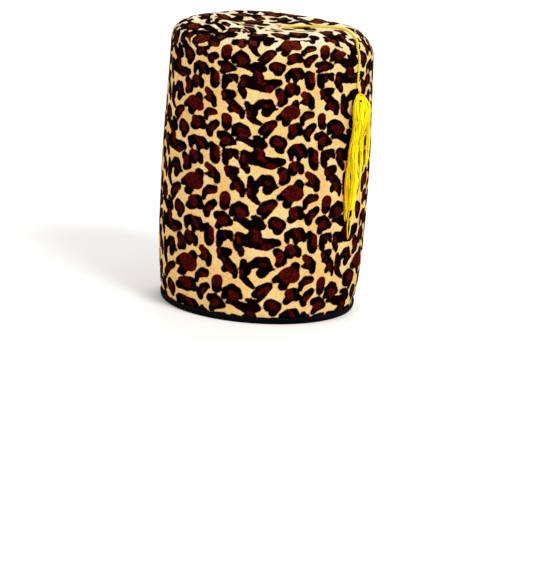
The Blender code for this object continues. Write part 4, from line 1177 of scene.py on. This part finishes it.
def make_cord(material):
    """(piece, route) of two yellow strands twisted round each other."""
    path = smooth_route(cord_route(), CORD_POINT_SPACING)
    line = smooth_route(cord_route(), CORD_STEP)
    run = np.arange(len(line)) * CORD_STEP
    tangents = unit(np.gradient(line, axis=0))
    across = unit(np.cross(tangents, TASSEL_ALONG))
    other = np.cross(across, tangents)
    offset = np.full(len(line), STRAND_OFFSET)
    for middle, half, extra in CORD_LOOSE:
        offset += extra * groove(run - middle, half)
    ends = np.clip(np.minimum(run, run[-1] - run) / CORD_TAPER, 0.35, 1.0)
    strands = []
    for half_turn in (0.0, math.pi):
        angle = 2 * math.pi * run / CORD_PITCH + half_turn
        sideways = np.cos(angle)[:, None] * across + np.sin(angle)[:, None] * other
        strand = line + sideways * (offset * ends)[:, None]
        strands.append((strand, STRAND_RADIUS * (0.7 + 0.3 * ends), TASSEL_ALONG, CORD_TONE))
    piece = make_yarn("tassel_cord_strands", strands, 9, material)
    return piece, path


# --- tack in the middle of the top
# Its ends of yarn: direction in degrees, length, lift at the end
TUFT_ENDS = (
    (168, 0.0052, 0.0010), (205, 0.0034, 0.0022), (122, 0.0032, 0.0020), (62, 0.0030, 0.0026),
    (-70, 0.0034, 0.0014), (-25, 0.0036, 0.0016), (248, 0.0038, 0.0008),
)
TACK_RADIUS = 0.0009
TACK_THREAD = 0.0005
TACK_POINTS = 15
TUFT_THREAD = 0.00036
TUFT_BEND = 0.0006


def make_tack(material):
    """A small knot of yarn with short ends, sewn down where the cord starts."""
    x, y = ANCHOR_PLACE
    foot = top_height(x, y)
    middle = np.array((x, y, foot + TACK_RADIUS))
    strands = []
    for turn in range(2):
        angle = np.linspace(0.0, 2 * math.pi, TACK_POINTS) + turn * 1.2
        size = TACK_RADIUS - 0.0003 * turn
        lift = 0.0008 * turn + 0.0003 * np.sin(angle)
        ring = middle + np.stack([size * np.cos(angle), size * 0.85 * np.sin(angle), lift], axis=1)
        strands.append((ring, np.full(TACK_POINTS, TACK_THREAD), (0.3, 0.2, 1.0), 0.7))
    for direction, length, lift in TUFT_ENDS:
        share = np.linspace(0.0, 1.0, 9)
        heading = math.radians(direction)
        bend = TUFT_BEND * np.sin(share * math.pi) * (1 if direction > 100 else -1)
        line = middle + np.stack(
            [
                length * share * math.cos(heading) - bend * math.sin(heading),
                length * share * math.sin(heading) + bend * math.cos(heading),
                0.0006 + lift * np.sin(share * math.pi * 0.62) - 0.0011 * share,
            ],
            axis=1,
        )
        radii = TUFT_THREAD * (1.0 - 0.75 * share**2)
        strands.append((line, radii, (0.05, 0.05, 1.0), 0.5 + 0.6 * share))
    piece = make_yarn("cord_tack", strands, 7, material)
    return stand_for(piece, "cord_anchor")


# --- tassel
THREAD_SEED = 20
THREAD_RADIUS = 0.00038
THREAD_POINT_SPACING = 0.0026
HEAD_THREADS = 84
HEAD_LEVELS = 16
HEAD_TOP = 0.2076
HEAD_FEET = (0.1760, 0.1900)  # the head's threads end between these heights
HEAD_FRONT = 0.0075  # threads this far towards the view are moved aside from the small eye
HEAD_UNEVEN = (-0.4, 0.4)  # of the room between two threads
HEAD_TUCK, HEAD_TUCK_FROM = 0.30, 0.75  # the threads' feet are tucked in from this share down
HEAD_SIZES = (0.88, 1.02)
HEAD_TWISTS = (-0.35, 0.35)
HEAD_TONES = (-0.25, 0.35)
HEAD_GIRTHS = (0.8, 1.2)
CORE_HEIGHTS = (0.2066, 0.1860)
CORE_SHARE = 0.84
LOOP_POINTS = 17
VIEW_COSINE = math.cos(math.radians(90.0 + TASSEL_AZIMUTH))
VIEW_SINE = math.sin(math.radians(90.0 + TASSEL_AZIMUTH))
# Bundles of threads from the head down, in mm: height, then across to the right and towards the
# photograph's view, both from the cord's line, and half of each size.
TASSEL_BUNDLES = (
    # threads, tone, rows; the left edge's bundles take a deeper tone, painted shade on the tassel's
    # shaded left side
    # body
    (118, 0, (
        (196, 4.6, 7, 5, 5.6), (190, 4.2, 7.6, 5, 6.8), (181, 3.4, 8, 4.7, 7), (171, 2.1, 8.6, 4.1, 7),
        (158, 0.5, 9.6, 3.9, 6.8), (148, 0.6, 10.4, 3.2, 6.2), (138, 1.5, 11, 2.8, 5.8),
        (130, 2.3, 11, 3.3, 5.4), (120, 1.6, 11, 3.1, 4.6), (110, 0.7, 10.4, 2.6, 4),
        (103, -0.2, 10, 1.6, 2.6),
    )),
    # right side of the body
    (56, 0.04, (
        (196, 6.2, 7, 4.4, 5.6), (190, 6.8, 7.4, 4.6, 6.6), (180, 6.8, 8, 3.4, 6.4),
        (171, 6.4, 8.2, 2.6, 6), (158, 6.6, 8.8, 1.7, 4.8), (148, 7.4, 9.4, 1.4, 3.4),
        (141, 6.9, 9.8, 1, 2), (129, 6.8, 9.4, 0.7, 0.9),
    )),
    # short right bundle
    (34, 0.1, (
        (196, 8.4, 6.2, 3.6, 4.6), (190, 10, 6.4, 3.2, 5), (179, 11.6, 7, 1.9, 4.6),
        (161, 12.3, 7.6, 1.5, 3.8), (152, 11.9, 8, 1.4, 3.2), (143, 11.5, 8, 0.9, 1.8),
    )),
    # left edge
    (20, 0.34, (
        (196, 2.4, 8.4, 2.6, 4.6), (190, 1.7, 9, 2.4, 5), (172, -0.9, 10.4, 1.5, 4),
        (158, -3.2, 11.4, 1.3, 3.2), (145, -3.7, 11.6, 1.5, 3), (131, -4, 11.6, 1.9, 3),
        (117, -3.8, 11.2, 1.9, 2.5), (103, -3.8, 10.4, 1.4, 2), (92.4, -3.8, 9.5, 0.9, 1.2),
    )),
    # frayed left edge
    (7, 0.55, (
        (160, -3, 10.8, 1.6, 2.6), (145, -3.8, 11.2, 1.7, 2.6), (130, -4.8, 11.4, 1.7, 2.4),
        (121, -5, 11.4, 1.2, 2), (112, -4.2, 11, 1.3, 2), (100, -3.4, 10.6, 1.2, 1.6),
    )),
    # fine right strand
    (3, 0.12, (
        (157, 6.8, 10.4, 0.7, 0.8), (141, 6.9, 10, 0.5, 0.5), (129, 7, 8.6, 0.4, 0.4),
        (118, 7.9, 5, 0.4, 0.4), (103, 10.2, 0.8, 0.3, 0.3),
    )),
    # left tail
    (4, 0.22, (
        (131, 0.8, 11.2, 1.2, 1.6), (111, -0.3, 10.6, 0.9, 1.2), (99, -1.2, 9.2, 0.6, 0.7),
        (86, -1.1, 7, 0.5, 0.5), (74.8, 0, 4.4, 0.3, 0.3),
    )),
    # right tail
    (4, 0.16, (
        (130, 2.7, 11.6, 1.2, 1.6), (111, 2.1, 10.6, 0.8, 1), (98.6, 1.9, 8.6, 0.5, 0.6),
        (85.4, 1.3, 6.2, 0.4, 0.4), (75.4, 0.5, 4.2, 0.3, 0.3),
    )),
    # curled strand
    (3, 0.14, (
        (131, 3.6, 11.2, 0.9, 1.2), (113, 3.5, 10.4, 0.6, 0.8), (104, 3.4, 9.2, 0.4, 0.5),
        (98, 4.3, 8.2, 0.3, 0.4), (95.5, 5.4, 7.8, 0.3, 0.3),
    )),
)
# How the threads of a bundle differ. A pair is the least and most drawn for a thread; lengths and
# the pitches of the waves down a thread are in mm.
START_ABOVE = (-0.5, 1.5)
ENDS_EARLY = 0.12  # of the bundle's length, at most
SWING, SWING_PITCH = 0.30, (9.0, 16.0)
STRAY, STRAY_PITCH = 0.10, (5.0, 9.0)
CRIMP, CRIMP_PITCH = 0.35, (1.8, 3.6)
TIP_LENGTH, TIP_SHARE = 3.0, 0.35
THREAD_GIRTHS = (0.75, 1.15)
THREAD_TONES = (-0.40, 0.22)
INSIDE_SHADE = 0.6  # tone added in the middle of a bundle: painted shade
# The small eye in the front of the head, and the loops that stand out at its right.
EYE_PLACE = (0.2024, 0.0044, 0.0116)  # height, across, towards the photograph's view
EYE_RADIUS = 0.0011
# The ring round the eye and the hollow in it, a dark strand of painted shade: share of the eye's
# radius, depth, thickness, tone
EYE_RINGS = ((1.45, 0.0, THREAD_RADIUS, 0.35), (0.25, 0.0006, EYE_RADIUS, 2.2))
HEAD_LOOPS = (
    # height, across, towards the view, loop's width, loop's height
    (0.1965, 0.0118, 0.0060, 0.0030, 0.0085), (0.1925, 0.0124, 0.0075, 0.0024, 0.0060),
    (0.1895, 0.0112, 0.0100, 0.0018, 0.0050), (0.1990, 0.0104, 0.0085, 0.0016, 0.0045),
)


def beside_wall(side, out, height):
    """Places given along the wall, out from it and by height, at the tassel's azimuth."""
    foot = place(TASSEL_AZIMUTH, wall_radius(TASSEL_AZIMUTH, height), height)
    return foot + side[:, None] * TASSEL_ALONG + out[:, None] * TASSEL_OUT


def to_wall(across, towards):
    """(side, out) at the wall of places given across and towards the photograph's view."""
    return across * VIEW_COSINE - towards * VIEW_SINE, across * VIEW_SINE + towards * VIEW_COSINE


def seen(across, towards, height):
    """Places given across and towards the photograph's view, kept clear of the wall."""
    side, out = to_wall(across, towards)
    return beside_wall(side, np.maximum(out, THREAD_RADIUS * 1.2), height)


def streaks(angle, height):
    """Slow changes of tone from thread to thread and down the threads, from about -1 to 1."""
    fine = np.sin(angle * 9.0 + 3.0 * np.sin(height * 140.0)) * np.sin(height * 260.0 + angle * 4.0)
    broad = np.sin(angle * 4.0 + 1.0 + np.sin(height * 90.0 + 2.0))
    return 0.6 * fine + 0.5 * broad


def round_the_eye(side, out, height):
    """The same places, those in front of the head moved aside from its eye."""
    eye_height, eye_across, _ = EYE_PLACE
    across = side * VIEW_COSINE + out * VIEW_SINE
    towards = out * VIEW_COSINE - side * VIEW_SINE
    apart = np.hypot(across - eye_across, height - eye_height)
    aside = np.sqrt(apart**2 + (1.5 * EYE_RADIUS) ** 2) / np.maximum(apart, 1e-5)
    aside = np.where(towards > HEAD_FRONT, aside, 1.0)
    across = eye_across + (across - eye_across) * aside
    height = eye_height + (height - eye_height) * aside
    return (*to_wall(across, towards), height)


def make_tassel_head(material, rng):
    """Threads laid over the head from its top to the skirt, round a tight core."""
    strands = []
    for index in range(HEAD_THREADS):
        angle = 2 * math.pi * (index + rng.uniform(*HEAD_UNEVEN)) / HEAD_THREADS
        foot = rng.uniform(*HEAD_FEET)
        share = np.linspace(0.0, 1.0, HEAD_LEVELS)
        height = HEAD_TOP - (HEAD_TOP - foot) * share**1.5
        side, out, half_side, half_out = columns_at(TASSEL_SECTIONS, height)
        low_down = np.clip((share - HEAD_TUCK_FROM) / (1.0 - HEAD_TUCK_FROM), 0.0, 1.0)
        size = (1.0 - HEAD_TUCK * low_down**2) * rng.uniform(*HEAD_SIZES)
        twist = rng.uniform(*HEAD_TWISTS)
        sway = angle + twist * (1 - share) + 0.08 * np.sin(share * 5 + index)
        thread_side = side + (half_side * size - THREAD_RADIUS) * np.cos(sway)
        thread_out = out + (half_out * size - THREAD_RADIUS) * np.sin(sway)
        thread_side, thread_out, height = round_the_eye(thread_side, thread_out, height)
        line = beside_wall(thread_side, thread_out, height)
        across = -math.sin(angle) * TASSEL_ALONG + math.cos(angle) * TASSEL_OUT
        tone = rng.uniform(*HEAD_TONES) + 0.30 * streaks(sway, height)
        swelling = 0.7 + 0.3 * np.clip(share * 6, 0.0, 1.0)
        radii = THREAD_RADIUS * swelling * rng.uniform(*HEAD_GIRTHS)
        strands.append((line, radii, across, tone))
    turn = np.linspace(0.0, 2 * math.pi, LOOP_POINTS)
    for height, across, towards, width, tall in HEAD_LOOPS:
        line = seen(
            across + width / 2 * np.cos(turn),
            towards + 0.0008 * np.sin(turn * 2),
            height + tall / 2 * np.sin(turn),
        )
        radii = np.full(LOOP_POINTS, THREAD_RADIUS * 0.8)
        strands.append((line, radii, TASSEL_OUT * 0.7 + TASSEL_ALONG, 0.1))
    height, across, towards = EYE_PLACE
    to_view = VIEW_COSINE * TASSEL_OUT - VIEW_SINE * TASSEL_ALONG
    for size, back, radius, tone in EYE_RINGS:
        ring = seen(
            across + EYE_RADIUS * size * np.cos(turn),
            np.full(LOOP_POINTS, towards - back),
            height + EYE_RADIUS * size * np.sin(turn),
        )
        strands.append((ring, np.full(LOOP_POINTS, radius), to_view, tone))
    heights = np.linspace(*CORE_HEIGHTS, 9)
    side, out, half_side, half_out = columns_at(TASSEL_SECTIONS, heights)
    core = beside_wall(side, out, heights)
    # The core's deep tone of 0.8 is painted shade inside the head, where it shows between the threads.
    strands.append((core, np.minimum(half_side, half_out) * CORE_SHARE, TASSEL_ALONG, 0.8))
    piece = make_yarn("tassel_head", strands, 6, material)
    return stand_for(piece, "tassel")


def bundle_thread(rng, rows, bundle_tone):
    """One thread of a bundle: (line, radii, reference, tone)."""
    top = rows[-1, 0] + rng.uniform(*START_ABOVE)
    length = rows[-1, 0] - rows[0, 0]
    end = rows[0, 0] + rng.uniform(0.0, 1.0) ** 2 * ENDS_EARLY * length
    count = max(8, round((top - end) / 1000 / THREAD_POINT_SPACING))
    height = top + (end - top) * np.linspace(0.0, 1.0, count)
    across, towards, half_across, half_towards = columns_at(rows, height)
    reach = math.sqrt(rng.uniform(0.02, 1.0))
    turn = rng.uniform(0.0, 2 * math.pi)
    wander = rng.uniform(0.0, 2 * math.pi)
    swing = turn + SWING * np.sin(height / rng.uniform(*SWING_PITCH) + wander)
    stray = reach * (1.0 + STRAY * np.sin(height / rng.uniform(*STRAY_PITCH) + 2 * wander))
    crimp = np.sin(height / rng.uniform(*CRIMP_PITCH) + 3 * wander)
    crimp = np.minimum(CRIMP, 0.4 * half_across) * crimp
    across = across + half_across * stray * np.cos(swing) + 0.5 * crimp
    towards = towards + half_towards * stray * np.sin(swing) + crimp
    line = seen(across / 1000, towards / 1000, height / 1000)
    tip = np.clip((height - end) / TIP_LENGTH, TIP_SHARE, 1.0)
    radii = THREAD_RADIUS * rng.uniform(*THREAD_GIRTHS) * tip
    # painted shade: threads nearer the bundle's middle take a deeper tone
    depth = INSIDE_SHADE * (1.0 - reach)
    # bundle_tone carries the painted shade of the left bundles
    tone = bundle_tone + depth + rng.uniform(*THREAD_TONES) + 0.25 * streaks(swing, height / 1000)
    return line, radii, TASSEL_ALONG, np.clip(tone, 0.0, 1.0)


def make_tassel_skirt(material, rng):
    strands = [
        bundle_thread(rng, np.array(rows, float)[::-1], tone)
        for threads, tone, rows in TASSEL_BUNDLES
        for _ in range(threads)
    ]
    piece = make_yarn("tassel_skirt", strands, 5, material)
    return stand_for(piece, "tassel")


# --- floor, backdrop and light
STAGE_REACH = 6.0
BEND_START = 2.0
BEND_RADIUS = 1.2
BEND_STEPS = 12
# Lamps round the hat: name, place, size, power, colour
LAMPS = (
    ("key", (1.6, -2.1, 2.4), 1.5, 92.0, (1.0, 0.995, 0.98)),
    ("fill", (-2.4, -1.6, 1.4), 2.2, 29.0, (1.0, 0.94, 0.84)),
    ("behind", (0.4, 2.0, 2.2), 1.8, 34.0, (1.0, 1.0, 1.0)),
)
LAMP_AIM = Vector((0.0, 0.0, 0.15))
SKY_STRENGTH = 0.6


def make_stage():
    """A floor that turns up into a backdrop well behind the hat."""
    profile = [(-STAGE_REACH, 0.0), (BEND_START, 0.0)]
    for step in range(1, BEND_STEPS + 1):
        angle = math.pi / 2 * step / BEND_STEPS
        out, up = BEND_RADIUS * math.sin(angle), BEND_RADIUS * (1 - math.cos(angle))
        profile.append((BEND_START + out, up))
    profile.append((BEND_START + BEND_RADIUS, STAGE_REACH))
    vertices = [(x, y, z) for y, z in profile for x in (-STAGE_REACH, STAGE_REACH)]
    faces = [(2 * i, 2 * i + 1, 2 * i + 3, 2 * i + 2) for i in range(len(profile) - 1)]
    make_piece("floor", vertices, faces, [pale_floor()])


def make_light():
    for name, location, size, power, colour in LAMPS:
        data = bpy.data.lights.new(name, "AREA")
        data.shape = "DISK"
        data.size = size
        data.energy = power
        data.color = colour
        lamp = bpy.data.objects.new(name, data)
        bpy.context.scene.collection.objects.link(lamp)
        lamp.location = location
        lamp.rotation_mode = "QUATERNION"
        lamp.rotation_quaternion = (LAMP_AIM - Vector(location)).to_track_quat("-Z", "Y")
    world = bpy.data.worlds.new("studio")
    bpy.context.scene.world = world
    world.use_nodes = True
    sky = world.node_tree.nodes["Background"]
    sky.inputs["Color"].default_value = (1.0, 1.0, 1.0, 1.0)
    sky.inputs["Strength"].default_value = SKY_STRENGTH
    bpy.context.scene.view_settings.view_transform = "Standard"


# --- the scene
def main():
    make_camera()
    rng = random.Random(THREAD_SEED)
    bright_yarn = yellow_yarn("yellow_yarn", *TASSEL_YARN)
    cord_yarn = yellow_yarn("cord_yarn", *CORD_YARN)
    cord, path = make_cord(cord_yarn)
    head = make_tassel_head(bright_yarn, rng)
    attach(cord, "root")
    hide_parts("tassel_cord")
    make_tassel_skirt(bright_yarn, rng)
    make_tack(cord_yarn)
    backing = knit_backing()
    make_plush_wall(plush("plush_side"), backing)
    make_plush_top(plush("plush_top"), backing)
    make_rim_tape(black_tape())
    make_rim_stitches(black_thread())
    make_stage()
    make_light()


main()
